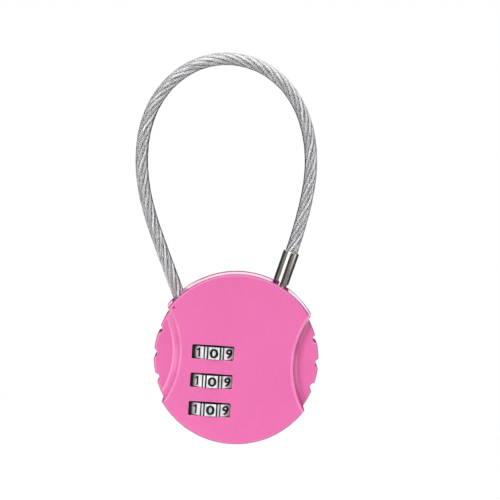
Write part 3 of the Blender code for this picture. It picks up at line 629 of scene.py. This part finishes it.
def make_materials():
    MATERIALS.update(
        front=pink_lacquer("pink_lacquer_front"),
        rear=pink_lacquer("pink_lacquer_rear"),
        satin=dial_satin("dial_satin"),
        ink=ink("dial_ink"),
        nickel=brushed_metal(
            "plug_nickel", (0.46, 0.43, 0.41), (0.58, 0.55, 0.53), (0.10, 0.20),
            (1.0, 1.0, 0.08), 2600.0,
        ),
        rope=rope_steel("rope_steel"),
        vinyl=clear_vinyl("jacket_vinyl"),
        rivet=brushed_metal(
            "rivet_steel", (0.50, 0.50, 0.51), (0.64, 0.64, 0.65), (0.25, 0.40),
            (1.0, 0.1, 1.0), 2400.0,
        ),
        brass=brushed_metal(
            "sleeve_brass", (0.62, 0.44, 0.20), (0.74, 0.55, 0.28), (0.28, 0.42),
            (1.0, 1.0, 12.0), 1500.0,
        ),
        steel=brushed_metal(
            "inner_steel", (0.42, 0.42, 0.43), (0.55, 0.55, 0.57), (0.32, 0.48),
            (1.0, 0.15, 1.0), 1900.0,
        ),
        zinc=brushed_metal(
            "inner_zinc", (0.46, 0.47, 0.49), (0.60, 0.61, 0.63), (0.38, 0.55),
            (1.0, 1.0, 1.0), 1300.0, 0.3,
        ),
    )


def dress(obj, material):
    obj.data.materials.clear()
    obj.data.materials.append(MATERIALS[material])


# ---------------- case


def case_round(name, profile):
    """A turned blank whose flats line up with no notch or window edge."""
    return lathe(name, profile, CASE_STEPS, start=math.pi / CASE_STEPS)


def girth(depth):
    """The case's radius behind its widest place, drawn in towards the back by the draft."""
    return CASE_RADIUS - GIRTH_DRAFT * (GIRTH_TOP - depth)


def polar(radius, degrees):
    turn = math.radians(degrees)
    return radius * math.cos(turn), radius * math.sin(turn)


def bend(start, corner, end, count):
    """Points of a curve from one point to another, drawn towards a corner."""
    points = []
    for n in range(count + 1):
        t = n / count
        points.append(tuple(
            (1 - t) ** 2 * a + 2 * t * (1 - t) * b + t**2 * c
            for a, b, c in zip(start, corner, end)
        ))
    return points


def notch_outline(angle, edge, grow):
    """A round notch in an outline of radius edge, its lips eased, from low to high angle."""
    radius, centre = NOTCH_RADIUS + 0.6 * grow, NOTCH_BOTTOM + NOTCH_RADIUS
    cosine = (centre**2 + edge**2 - radius**2) / (2 * centre * edge)
    half = math.degrees(math.acos(cosine))
    swing = math.degrees(math.asin(edge * math.sin(math.radians(half)) / radius))
    ease = math.degrees(NOTCH_LIP / NOTCH_RADIUS)
    away = math.degrees(NOTCH_LIP / edge)
    middle = polar(centre, angle)

    def wall(degrees):
        across = polar(radius, 180 + angle - degrees)
        return middle[0] + across[0], middle[1] + across[1]

    points = bend(
        polar(edge, angle - half - away), polar(edge, angle - half), wall(ease - swing), 4
    )
    run = 2 * (swing - ease)
    points += [wall(ease - swing + run * n / 14) for n in range(1, 14)]
    points += bend(
        wall(swing - ease), polar(edge, angle + half), polar(edge, angle + half + away), 4
    )
    return points, half + away


def edge_outline(flare):
    """Half an outline of the right side: the set-in edge, its notches and its corners."""
    def corner(share, side):
        drop = 1 - math.sqrt(1 - share**2)
        spot = CASE_RADIUS + 0.02 * MM - (CASE_RADIUS - EDGE_RADIUS) * drop
        return polar(spot, side * (EDGE_END + EDGE_CORNER * (1 - share)))

    def edge(degrees):
        fade = min(max((EDGE_END - 1.0 - abs(degrees)) / 2.0, 0.0), 1.0)
        return polar(EDGE_RADIUS - flare * fade, degrees)

    points = [corner(n / 10, -1) for n in range(10)]
    last = -EDGE_END
    for angle in NOTCH_ANGLES:
        notch, half = notch_outline(angle, EDGE_RADIUS - flare, flare)
        reach = angle - half - last
        points += [edge(last + reach * n / 16) for n in range(16)]
        points += notch
        last = angle + half
    points += [edge(last + (EDGE_END - last) * n / 16) for n in range(1, 17)]
    points += [corner(1 - n / 10, 1) for n in range(1, 11)]
    far = EDGE_END + EDGE_CORNER
    return points + [polar(EDGE_OUTER, far * share) for share in (1, 0.5, 0, -0.5, -1)]


def edge_tools():
    """Both sides' outlines, rounded over at the side floors and at the back."""
    quarter = [math.radians(90 * n / 6) for n in range(7)]
    levels = [(-PAST, EDGE_ROUND)]
    levels += [(EDGE_ROUND * (1 - math.cos(a)), EDGE_ROUND * (1 - math.sin(a))) for a in quarter]
    levels += [
        (SIDE_FLOOR - EDGE_ROUND * (1 - math.sin(a)), EDGE_ROUND * (1 - math.cos(a)))
        for a in quarter
    ]
    levels.append((CASE_DEPTH + PAST, EDGE_ROUND))
    rings = [[(x, y, depth) for x, y in edge_outline(flare)] for depth, flare in levels]
    turned = [[(-x, -y, z) for x, y, z in ring] for ring in rings]
    return [loft("edge_right", rings), loft("edge_left", turned)]


def wall_tools():
    """What keeps the cavities clear of the notched edges."""
    span = EDGE_WALL_SPAN
    arcs = [polar(EDGE_WALL, -span + 2 * n) for n in range(span + 1)]
    arcs += [polar(EDGE_OUTER, (span + 1) * (1 - n / 2)) for n in range(5)]
    tools = []
    for name, side in (("wall_right", 1), ("wall_left", -1)):
        tools.append(loft(name, [
            [(side * x, side * y, depth) for x, y in arcs] for depth in (-PAST, CASE_DEPTH + PAST)
        ]))
    return tools


def side_tool(name, side, radius, floor, stepped):
    """Clears the area outside an arc at one side, down to its floor."""
    high = CASE_DEPTH + PAST
    if stepped:
        foot = CASE_DEPTH - floor - STEP_TOP_ROUND
        lip = radius + STEP_TOP_ROUND
        profile = [(0, high), (lip + PAST, high)]
        profile += [(lip + PAST, CASE_DEPTH + 0.3 * MM), (lip, CASE_DEPTH + 0.02 * MM)]
        profile += arc((lip, CASE_DEPTH - STEP_TOP_ROUND), STEP_TOP_ROUND, 90, 180, 8)
        profile += arc((radius - foot, floor + foot), foot, 0, -90, 12)[1:]
    else:
        profile = [(0, high), (radius, high), (radius, floor)]
    profile.append((0, floor))
    return lathe(name, profile, SIDE_STEPS, at(side * SIDE_CENTRE, 0), start=SIDE_TURN)


def window_tool(name, x, y):
    """A window's opening, with its corners rounded and its front edge eased."""
    corner, width, height = WINDOW_CORNER, *WINDOW_SIZE

    def outline(grow, z):
        points = []
        for sx, sy, start in ((1, 1, 0), (-1, 1, 90), (-1, -1, 180), (1, -1, 270)):
            centre = (x + sx * (width / 2 - corner), y + sy * (height / 2 - corner))
            points += [(*p, z) for p in arc(centre, corner + grow, start, start + 90, 4)]
        return points

    rings = [outline(0, POCKET_CEILING - 0.4 * MM), outline(0, CASE_DEPTH - WINDOW_ROUND)]
    for step in range(1, 6):
        angle = math.radians(90 * step / 5)
        rings.append(outline(
            WINDOW_ROUND * (1 - math.cos(angle)),
            CASE_DEPTH - WINDOW_ROUND + WINDOW_ROUND * math.sin(angle),
        ))
    rings.append(outline(WINDOW_ROUND, CASE_DEPTH + PAST))
    return loft(name, rings)


def window_baffles():
    """Black baffles inside the windows, placed as painted shade in the gaps left of and above the
    dials.
    """
    wide, high = (size / 2 + BAFFLE_INTO_WALL for size in WINDOW_SIZE)
    left, right = WINDOW_X - wide, WINDOW_X + wide
    for n, centre in enumerate(DIALS, 1):
        middle = centre.z + WINDOW_RAISED
        top, bottom = middle + high, middle - high
        rings = []
        for depth, ease in BAFFLE_LEVELS:
            side, roof = left + (BAFFLE_SIDE - ease) * MM, top - (BAFFLE_ROOF - ease) * MM
            ell = (left, top), (left, bottom), (side, bottom), (side, roof), (right, roof)
            rings.append([(x, y, depth * MM) for x, y in (*ell, (right, top))])
        baffle = settle(loft(f"painted_shade_baffle_{n}", rings))
        # the baffles wear the numerals' black ink, as painted shade
        dress(baffle, "ink")
        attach(baffle, "case")


def entry_tools():
    """The holes for the cable and the plug, each half in either cover."""
    def hole(name, radius, point, lean):
        profile = [(0, HOLE_REACH), (radius, HOLE_REACH), (radius, -HOLE_REACH), (0, -HOLE_REACH)]
        return lathe(name, profile, 40, on_axis(point, lean))

    return [
        hole("cable_hole", CABLE_RADIUS + HOLE_PLAY, ANCHOR_AT, ANCHOR_LEAN),
        hole("plug_hole", PLUG_RADIUS + HOLE_PLAY, PLUG_AT, PLUG_LEAN),
    ]


def slot_tool(name, point, lean, half, core):
    """Opens a hole in the rim forwards, as far in as a core."""
    across = (half * math.cos(math.radians(lean)), -half * math.sin(math.radians(lean)))
    inner, outer = along(point, lean, SLOT_START), along(point, lean, HOLE_REACH)
    corners = [
        (end[0] + side * across[0], end[1] + side * across[1])
        for end, side in ((inner, -1), (inner, 1), (outer, 1), (outer, -1))
    ]
    slot = loft(name, [[(*p, z) for p in corners] for z in (CABLE_Z, CASE_DEPTH + PAST)])
    boolean(slot, [core])
    return slot


def disc(name, radius, low, high):
    """A plain round tool on the case's axis."""
    return lathe(name, [(0, high), (radius, high), (radius, low), (0, low)], INNER_STEPS)


def bored(name, x, y, steps):
    """A round hole that changes radius with depth, from (radius, depth) steps."""
    profile = [(0, steps[0][1])]
    for (radius, top), (_, bottom) in zip(steps, steps[1:]):
        profile += [(radius, top), (radius, bottom)]
    profile.append((0, steps[-1][1]))
    return lathe(name, profile, 24, at(x, y))


def front_shell():
    bottom = SEAM + SEAM_GAP / 2
    profile = [(0, CASE_DEPTH), (FACE_RADIUS - 2 * RIM_ROUND, CASE_DEPTH)]
    profile += arc((FACE_RADIUS - RIM_ROUND, CASE_DEPTH - RIM_ROUND), RIM_ROUND, 90, 15, 8)
    shoulder = CASE_DEPTH - RIM_ROUND - GIRTH_TOP
    for n in range(1, 15):
        share = 1 - n / 14
        spot = CASE_RADIUS - (CASE_RADIUS - FACE_RADIUS) * share**2
        profile.append((spot, GIRTH_TOP + shoulder * share))
    foot = girth(bottom)
    profile += [(foot, bottom + SEAM_EDGE), (foot - SEAM_EDGE, bottom), (0, bottom)]
    shell = case_round("front_shell", profile)

    pocket = disc("front_pocket", POCKET_RADIUS, FLAT_CEILING - PAST, POCKET_CEILING)
    limits = [
        side_tool("pocket_limit_left", -1, SIDE_RADIUS + SIDE_WALL, 0, False),
        side_tool("pocket_limit_right", 1, SIDE_RADIUS + SIDE_WALL, 0, False),
    ]
    walls = wall_tools()
    boolean(pocket, limits + walls)
    cavity = disc("front_cavity", CAVITY_RADIUS, 0, FLAT_CEILING)
    boolean(cavity, walls)
    core = disc("slot_core", FACE_RADIUS - 0.02 * MM, 0, CASE_DEPTH + 2 * MM)
    tools = [
        side_tool("side_left", -1, SIDE_RADIUS, SIDE_FLOOR, True),
        side_tool("side_right", 1, SIDE_RADIUS, SIDE_FLOOR, True),
        *edge_tools(),
        cavity,
        pocket,
        *[
            window_tool(f"window_{n}", WINDOW_X, dial.z + WINDOW_RAISED)
            for n, dial in enumerate(DIALS, 1)
        ],
        bored("pinhole", *RESET_AT, [(PINHOLE_RADIUS, CASE_DEPTH + PAST), (0, SEAM)]),
        *entry_tools(),
        slot_tool("cable_slot", ANCHOR_AT, ANCHOR_LEAN, CABLE_RADIUS + SLOT_PLAY, core),
        slot_tool("plug_slot", PLUG_AT, PLUG_LEAN, PLUG_RADIUS + SLOT_PLAY, core),
    ]
    boolean(shell, tools)
    settle(shell, 30.0, weighted=True)
    discard([*tools, *limits, *walls, core])
    dress(shell, "front")
    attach(shell, "case")
    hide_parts("front_cover")


def rear_shell():
    top = SEAM - SEAM_GAP / 2
    profile = [(0, top), (girth(top) - SEAM_EDGE, top), (girth(top), top - SEAM_EDGE)]
    profile += [(girth(GIRTH_BOTTOM), GIRTH_BOTTOM)]
    profile += arc((HEEL_RADIUS - BACK_ROUND, BACK_ROUND), BACK_ROUND, 0, -90, 10)
    profile += [(CASE_RADIUS - 3 * MM, 0), (0, 0)]
    shell = case_round("rear_shell", profile)
    cavity = disc("rear_cavity", CAVITY_RADIUS, REAR_WALL, CASE_DEPTH)
    solid = [(0, 2 * CASE_DEPTH), (BOSS_RADIUS, 2 * CASE_DEPTH), (BOSS_RADIUS, -PAST), (0, -PAST)]
    kept = [lathe(f"rear_boss_{n}", solid, 32, at(x, y)) for n, (x, y) in enumerate(RIVETS, 1)]
    kept += wall_tools()
    boolean(cavity, kept)
    steps = [(RIVET_BORE, CASE_DEPTH), RIVET_SEAT, (0, -PAST)]
    heads = [bored(f"rear_rivet_hole_{n}", x, y, steps) for n, (x, y) in enumerate(RIVETS, 1)]
    tools = [*edge_tools(), cavity, *heads, *entry_tools()]
    boolean(shell, tools)
    settle(shell, 30.0, weighted=True)
    discard(tools + kept)
    dress(shell, "rear")
    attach(shell, "case")
    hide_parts("rear_cover")


def rivets():
    """Domed heads set a little below the back."""
    profile = [(0, RIVET_TOP), (RIVET_SHANK, RIVET_TOP), (RIVET_SHANK, RIVET_UNDER_HEAD)]
    profile += [(RIVET_HEAD, RIVET_UNDER_HEAD), (RIVET_HEAD, RIVET_SUNK + RIVET_DOME)]
    for step in range(1, 7):
        slope = math.pi / 2 * (step / 6)
        radius = RIVET_HEAD * math.cos(slope) if step < 6 else 0
        profile.append((radius, RIVET_SUNK + RIVET_DOME * (1 - math.sin(slope))))
    for n, (x, y) in enumerate(RIVETS, 1):
        rivet = settle(lathe(f"rivet_{n}", profile, 40, at(x, y)))
        dress(rivet, "rivet")
        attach(rivet, "case")
        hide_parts(f"case_rivet_{n}")


# ---------------- dials


def facet_ring(inset):
    """A dial's rim on the plan of its own axis: flats with two grooves at every corner."""
    ridge = DIAL_FLAT / math.cos(math.pi / FACETS) - RIDGE_DROP
    groove = DIAL_FLAT - GROOVE_DEPTH
    marks = ((-0.66, None), (-0.60, groove), (-0.24, groove), (-0.15, ridge))
    offsets = [*marks, *[(-shift, radius) for shift, radius in reversed(marks)]]
    points = []
    for n in range(FACETS):
        corner = 2 * math.pi * (n + 0.5) / FACETS
        for shift, radius in offsets:
            angle = shift * MM / ridge
            if radius is None:
                radius = DIAL_FLAT / math.cos(math.pi / FACETS - abs(angle))
            radius -= inset
            points.append((radius * math.sin(corner + angle), radius * math.cos(corner + angle)))
    return points


def dial(number, centre):
    """A faceted wheel that turns about the frame's Z, and its numerals."""
    half = DIAL_THICKNESS / 2
    place = at(centre.x, centre.z, -centre.y)
    levels = [
        (-half, DIAL_CHAMFER), (-half + DIAL_CHAMFER, 0), (half - DIAL_CHAMFER, 0),
        (half, DIAL_CHAMFER),
    ]
    rings = [[(x, y, z) for x, z in facet_ring(inset)] for y, inset in levels]
    wheel = loft(f"dial_{number}", rings, PLAN @ place)
    reach = DIAL_BORE_HALF
    profile = [(0, reach), (DIAL_BORE, reach), (DIAL_BORE, -reach), (0, -reach)]
    bore = lathe("dial_bore", profile, 48, place @ Matrix.Rotation(-math.pi / 2, 4, "X"))
    boolean(wheel, [bore])
    settle(wheel, 20.0)
    discard([bore])
    dress(wheel, "satin")
    body = f"dial_{number}"
    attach(wheel, body)
    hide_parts(f"dial_wheel_{number}")

    digits = bmesh.new()
    for facet in range(FACETS):
        mesh = digit_mesh(-facet % FACETS)
        turn = Matrix.Rotation(2 * math.pi * facet / FACETS, 4, "Y")
        mesh.transform(PLAN @ place @ turn @ at(0, 0, DIAL_FLAT + 0.5 * DIGIT_THICKNESS))
        digits.from_mesh(mesh)
        bpy.data.meshes.remove(mesh)
    numerals = add(f"dial_numerals_{number}", digits, IN_PLACE)
    numerals.data.shade_flat()
    dress(numerals, "ink")
    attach(numerals, body)


# the numeral 1's outline in millimetres
ONE = (
    (-0.66, 0.30), (-0.66, 0.74), (-0.02, 1.14), (0.36, 1.14), (0.36, -1.12), (-0.16, -1.12),
    (-0.16, 0.56),
)


def plain_one():
    """The numeral 1: a stem and a flag, with no foot."""
    bm = bmesh.new()
    face = bm.faces.new([bm.verts.new((x * MM, y * MM, 0.0)) for x, y in ONE])
    raised = bmesh.ops.extrude_face_region(bm, geom=[face])["geom"]
    tops = [item for item in raised if isinstance(item, bmesh.types.BMVert)]
    bmesh.ops.translate(bm, verts=tops, vec=(0, 0, DIGIT_THICKNESS))
    bmesh.ops.translate(bm, verts=bm.verts, vec=(0, 0, -DIGIT_THICKNESS / 2))
    bmesh.ops.recalc_face_normals(bm, faces=bm.faces)
    mesh = bpy.data.meshes.new("one")
    bm.to_mesh(mesh)
    bm.free()
    return mesh


def digit_mesh(digit):
    """A numeral centred on its own origin, as a thin plate of ink."""
    if digit == 1:
        return plain_one()
    text = bpy.data.curves.new("digit", "FONT")
    text.body = str(digit)
    text.size = 1.0
    text.offset = 0.030
    text.resolution_u = 4
    text.extrude = 0.5
    obj = bpy.data.objects.new("digit", text)
    bpy.context.scene.collection.objects.link(obj)
    bpy.context.view_layer.update()
    graph = bpy.context.evaluated_depsgraph_get()
    mesh = bpy.data.meshes.new_from_object(obj.evaluated_get(graph))
    bpy.data.objects.remove(obj, do_unlink=True)
    bpy.data.curves.remove(text)
    low = [min(v.co[axis] for v in mesh.vertices) for axis in range(3)]
    high = [max(v.co[axis] for v in mesh.vertices) for axis in range(3)]
    scale = DIGIT_HEIGHT / (high[1] - low[1])
    middle = Vector([-(a + b) / 2 for a, b in zip(low, high)])
    size = Matrix.Diagonal((DIGIT_WIDER * scale, scale, DIGIT_THICKNESS, 1.0))
    mesh.transform(size @ Matrix.Translation(middle))
    return mesh


# ---------------- plug and cable


def plug():
    """The crimped ferrule and the plug below it."""
    foot = PLUG_TOP - PLUG_BORE_DEPTH
    collar, shoulder, under = PLUG_COLLAR
    neck, head = PLUG_NECK
    profile = [(0, foot), (PLUG_BORE, foot), (PLUG_BORE, PLUG_TOP)]
    profile += arc((PLUG_RADIUS - PLUG_LIP, PLUG_TOP - PLUG_LIP), PLUG_LIP, 90, 0, 6)
    profile += [
        (PLUG_RADIUS, shoulder + PLUG_EDGE), (PLUG_RADIUS - PLUG_EDGE, shoulder),
        (collar, shoulder), (collar, under + PLUG_EDGE), (collar - PLUG_EDGE, under),
        (neck, under), (neck, head), *PLUG_TIP,
    ]
    obj = settle(lathe("ferrule_plug", profile, 72, on_axis(PLUG_AT, PLUG_LEAN)), 30.0)
    dress(obj, "nickel")
    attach(obj, "plug")
    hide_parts("plug")
    return obj


def smooth_route(points, step):
    """Points at an even step along a Catmull-Rom curve through the given points."""
    points = [Vector(p) for p in points]
    ends = [2 * points[0] - points[1], *points, 2 * points[-1] - points[-2]]
    fine = []
    for a, b, c, d in zip(ends, ends[1:], ends[2:], ends[3:]):
        for number in range(40):
            t = number / 40
            fine.append(
                0.5 * (2 * b + (c - a) * t + (2 * a - 5 * b + 4 * c - d) * t**2
                       + (3 * b - a - 3 * c + d) * t**3)
            )
    fine.append(points[-1])
    lengths = [0.0]
    for first, second in zip(fine, fine[1:]):
        lengths.append(lengths[-1] + (second - first).length)
    count = round(lengths[-1] / step)
    route, index = [], 0
    for number in range(count + 1):
        wanted = lengths[-1] * number / count
        while index < len(lengths) - 2 and lengths[index + 1] < wanted:
            index += 1
        share = (wanted - lengths[index]) / (lengths[index + 1] - lengths[index])
        route.append(fine[index].lerp(fine[index + 1], min(share, 1.0)))
    return route, lengths[-1]


def cable_route(start, end):
    """The cable's centre line in the frame, from inside the case to the plug."""
    plan = [along(ANCHOR_AT, ANCHOR_LEAN, start), along(ANCHOR_AT, ANCHOR_LEAN, 6 * MM)]
    plan += list(LOOP_POINTS)
    plan.append(along(PLUG_AT, PLUG_LEAN, end))
    return smooth_route([(x, -CABLE_Z, y) for x, y in plan], ROUTE_STEP)


def sweep(name, route, section):
    """A closed tube along a route in the cable's plane. The section gives its number of sides,
    the centre's offset at a distance, across the route and out of the plane, and the radius at a
    distance and angle. Its UVs are the length in millimetres and the share of the turn."""
    bm = bmesh.new()
    uv = bm.loops.layers.uv.new("lay")
    sides = section.sides
    rows, distance = [], 0.0
    out = Vector((0, 1, 0))
    for index, point in enumerate(route):
        before, after = route[max(index - 1, 0)], route[min(index + 1, len(route) - 1)]
        if index:
            distance += (point - route[index - 1]).length
        across = (after - before).normalized().cross(out)
        shift = section.shift(distance)
        centre = point + across * shift[0] + out * shift[1]
        row = []
        for side in range(sides):
            angle = 2 * math.pi * side / sides
            radius = section.radius(distance, angle)
            row.append(bm.verts.new(
                centre + (across * math.cos(angle) + out * math.sin(angle)) * radius
            ))
        rows.append((row, distance))
    for (first, start), (second, end) in zip(rows, rows[1:]):
        for side in range(sides):
            other = (side + 1) % sides
            face = bm.faces.new((first[side], second[side], second[other], first[other]))
            spots = ((start, side), (end, side), (end, side + 1), (start, side + 1))
            for loop, (length, turn) in zip(face.loops, spots):
                loop[uv].uv = (length / MM, turn / sides)
    bm.faces.new(rows[0][0])
    bm.faces.new(rows[-1][0][::-1])
    bmesh.ops.recalc_face_normals(bm, faces=bm.faces)
    return add(name, bm, IN_PLACE)


class Strand:
    """One of six strands laid around a seventh, each of wires laid the other way."""

    sides = 28

    def __init__(self, number):
        self.phase = 2 * math.pi * number / STRANDS
        self.circle = STRAND_CIRCLE if number < STRANDS else 0.0

    def shift(self, distance):
        turn = 2 * math.pi * distance / ROPE_PITCH + self.phase
        return self.circle * math.cos(turn), self.circle * math.sin(turn)

    def radius(self, distance, angle):
        lay = WIRES * angle + 2 * math.pi * WIRE_TWIST * distance / MM
        return STRAND_RADIUS * (1 - WIRE_DEPTH + WIRE_DEPTH * math.cos(lay))


class Jacket:
    """The clear coating, drawn slightly into the valleys between the strands."""

    sides = 36

    def shift(self, distance):
        return 0.0, 0.0

    def radius(self, distance, angle):
        lay = STRANDS * (angle - 2 * math.pi * distance / ROPE_PITCH)
        return CABLE_RADIUS - JACKET_DIP * (1 - math.cos(lay))


def cable(plug_piece):
    """The rope's seven strands and their coating."""
    rope_route, _ = cable_route(ROPE_START, ROPE_END)
    jacket_route, length = cable_route(JACKET_START, JACKET_END)
    for number in range(STRANDS + 1):
        strand = sweep(f"rope_strand_{number + 1}", rope_route, Strand(number))
        strand.data.shade_smooth()
        dress(strand, "rope")
        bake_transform(strand)
    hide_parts("cable_rope")
    jacket = sweep("cable_coating", jacket_route, Jacket())
    jacket.data.shade_smooth()
    dress(jacket, "vinyl")
    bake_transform(jacket)
    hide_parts("cable_jacket")


# ---------------- inner pieces


def coil_spring(name, node, axis, wire, turns):
    """A spring in its node's place. It winds away from its fixed end, at the node's back or its
    underside."""
    low, high = (Vector(corner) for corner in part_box(node))
    base = (low + high) / 2
    if axis.y:
        base.y, away = high.y, -axis
    else:
        base.z, away = low.z, axis
    side = Vector((1, 0, 0))
    other = away.cross(side)
    length = abs((high - low).dot(axis))
    radius = (high.x - low.x) / 2 - wire
    count = COIL_STEPS * turns
    points = []
    for n in range(count + 1):
        angle = 2 * math.pi * n / COIL_STEPS
        share = min(max((n / count - COIL_END) / (1 - 2 * COIL_END), 0.0), 1.0)
        spoke = side * math.cos(angle) + other * math.sin(angle)
        points.append(base + spoke * radius + away * (wire + (length - 2 * wire) * share))
    rings = []
    for n, point in enumerate(points):
        ahead = (points[min(n + 1, count)] - points[max(n - 1, 0)]).normalized()
        across = ahead.cross(away).normalized()
        upward = across.cross(ahead)
        angles = [2 * math.pi * k / COIL_SIDES for k in range(COIL_SIDES)]
        rings.append([point + (across * math.cos(a) + upward * math.sin(a)) * wire for a in angles])
    spring = settle(loft(name, rings, IN_PLACE), 50.0)
    dress(spring, "steel")
    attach(spring, "case")
    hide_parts(node)
    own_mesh(spring)


def springs():
    coil_spring(
        "spindle_coil", "spindle_spring", Vector((0, 0, 1)), SPINDLE_WIRE, SPINDLE_TURNS,
    )
    coil_spring(
        "reset_coil", "reset_spring", Vector((0, 1, 0)), RESET_WIRE, RESET_TURNS,
    )


def dress_inner_nodes():
    """Metals for the CAD pieces that show as they are."""
    looks = {
        "brass": ("cam_sleeve_1", "cam_sleeve_2", "cam_sleeve_3"),
        "steel": ("dial_frame", "detent_spring", "claw_pin", "reset_plunger"),
        "zinc": ("spindle", "locking_claw", "plug_bush", "anchor_clamp"),
        "nickel": ("anchor_sleeve",),
    }
    for look, names in looks.items():
        for name in names:
            dress(frame["nodes"][name], look)


# ---------------- stage


def stage():
    bm = bmesh.new()
    bmesh.ops.create_grid(bm, x_segments=1, y_segments=1, size=FLOOR_HALF)
    floor = add("floor", bm, Matrix.Translation(FLOOR_AT))
    mat, tree, shader = new_material("floor_white")
    shade = ramp(tree, noise(tree, coordinates(tree), 8.0), FLOOR_WHITE)
    tree.links.new(shade, shader.inputs["Base Color"])
    set_sockets(shader, Roughness=0.9)
    floor.data.materials.append(mat)


def choose(tree, mask, low, high):
    """The first value where the mask is 0, the second where it is 1."""
    node = tree.nodes.new("ShaderNodeMix")
    node.data_type = "FLOAT"
    tree.links.new(mask, node.inputs["Factor"])
    for name, value in (("A", low), ("B", high)):
        if isinstance(value, float):
            node.inputs[name].default_value = value
        else:
            tree.links.new(value, node.inputs[name])
    return node.outputs["Result"]


# the light tent's fields: from and to azimuth and from and to elevation in degrees (0, 0 is
# straight in front of the lock and positive azimuths are to its right), how soft the borders
# are, and the brightness inside. Later fields lie over earlier ones, and TENT_LEVEL is outside.
TENT = (
    (-400, 400, 45, 120, 8, 1.65),
    (-400, 400, 17, 45, 4, 0.75),
    (115, 400, 5, 33, 2, 1.6),
    (-400, -115, 5, 33, 2, 1.6),
    (90, 150, -90, 36, 5, 0.06),
    (-150, -90, -90, 36, 5, 0.06),
    (-88, -42, -36, 62, 3, 0.36),
    (-84, -58, -12, 2, 2.5, 1.9),
    (-42, -8, -14, 62, 2, 2.5),
    (-8, 36, 12, 62, 3, 1.85),
    (-8, 28, -36, 12, 2, 0.08),
    (28, 88, -36, 40, 3, 0.38),
    (60, 84, -12, 8, 3, 2.2),
    (150, 400, -8, 8, 1.5, 0.03),
    (-400, -150, -8, 8, 1.5, 0.03),
    (166, 400, 0, 19, 2, 0.03),
    (-400, -166, 0, 19, 2, 0.03),
)
TENT_LEVEL = 0.9


def studio_light():
    """A white backdrop for the eye, and around it a light tent with dark gaps."""
    scene = bpy.context.scene
    scene.view_settings.view_transform = "Standard"
    scene.view_settings.look = "None"
    world = bpy.data.worlds.new("studio")
    scene.world = world
    world.use_nodes = True
    tree = world.node_tree
    background = tree.nodes["Background"]
    x, y, z = split(tree, coordinates(tree, "Generated"))
    degree = 180 / math.pi
    azimuth = times(tree, maths(tree, "ARCTAN2", x, times(tree, y, -1.0)), degree)
    elevation = times(tree, maths(tree, "ARCSINE", z), degree)
    level = TENT_LEVEL
    for left, right, low, high, soft, value in TENT:
        sideways = band(tree, azimuth, left, right, soft)
        upwards = band(tree, elevation, low, high, soft)
        level = choose(tree, times(tree, sideways, upwards), level, value)
    light_path = tree.nodes.new("ShaderNodeLightPath")
    shown = choose(tree, light_path.outputs["Is Camera Ray"], level, 1.0)
    tree.links.new(shown, background.inputs["Strength"])
    background.inputs["Color"].default_value = (1.0, 1.0, 1.0, 1.0)


# ---------------- assembly


def build():
    aim_camera()
    make_materials()
    cable(plug())
    front_shell()
    window_baffles()
    rear_shell()
    rivets()
    for number, centre in enumerate(DIALS, 1):
        dial(number, centre)
    springs()
    dress_inner_nodes()
    stage()
    studio_light()


build()
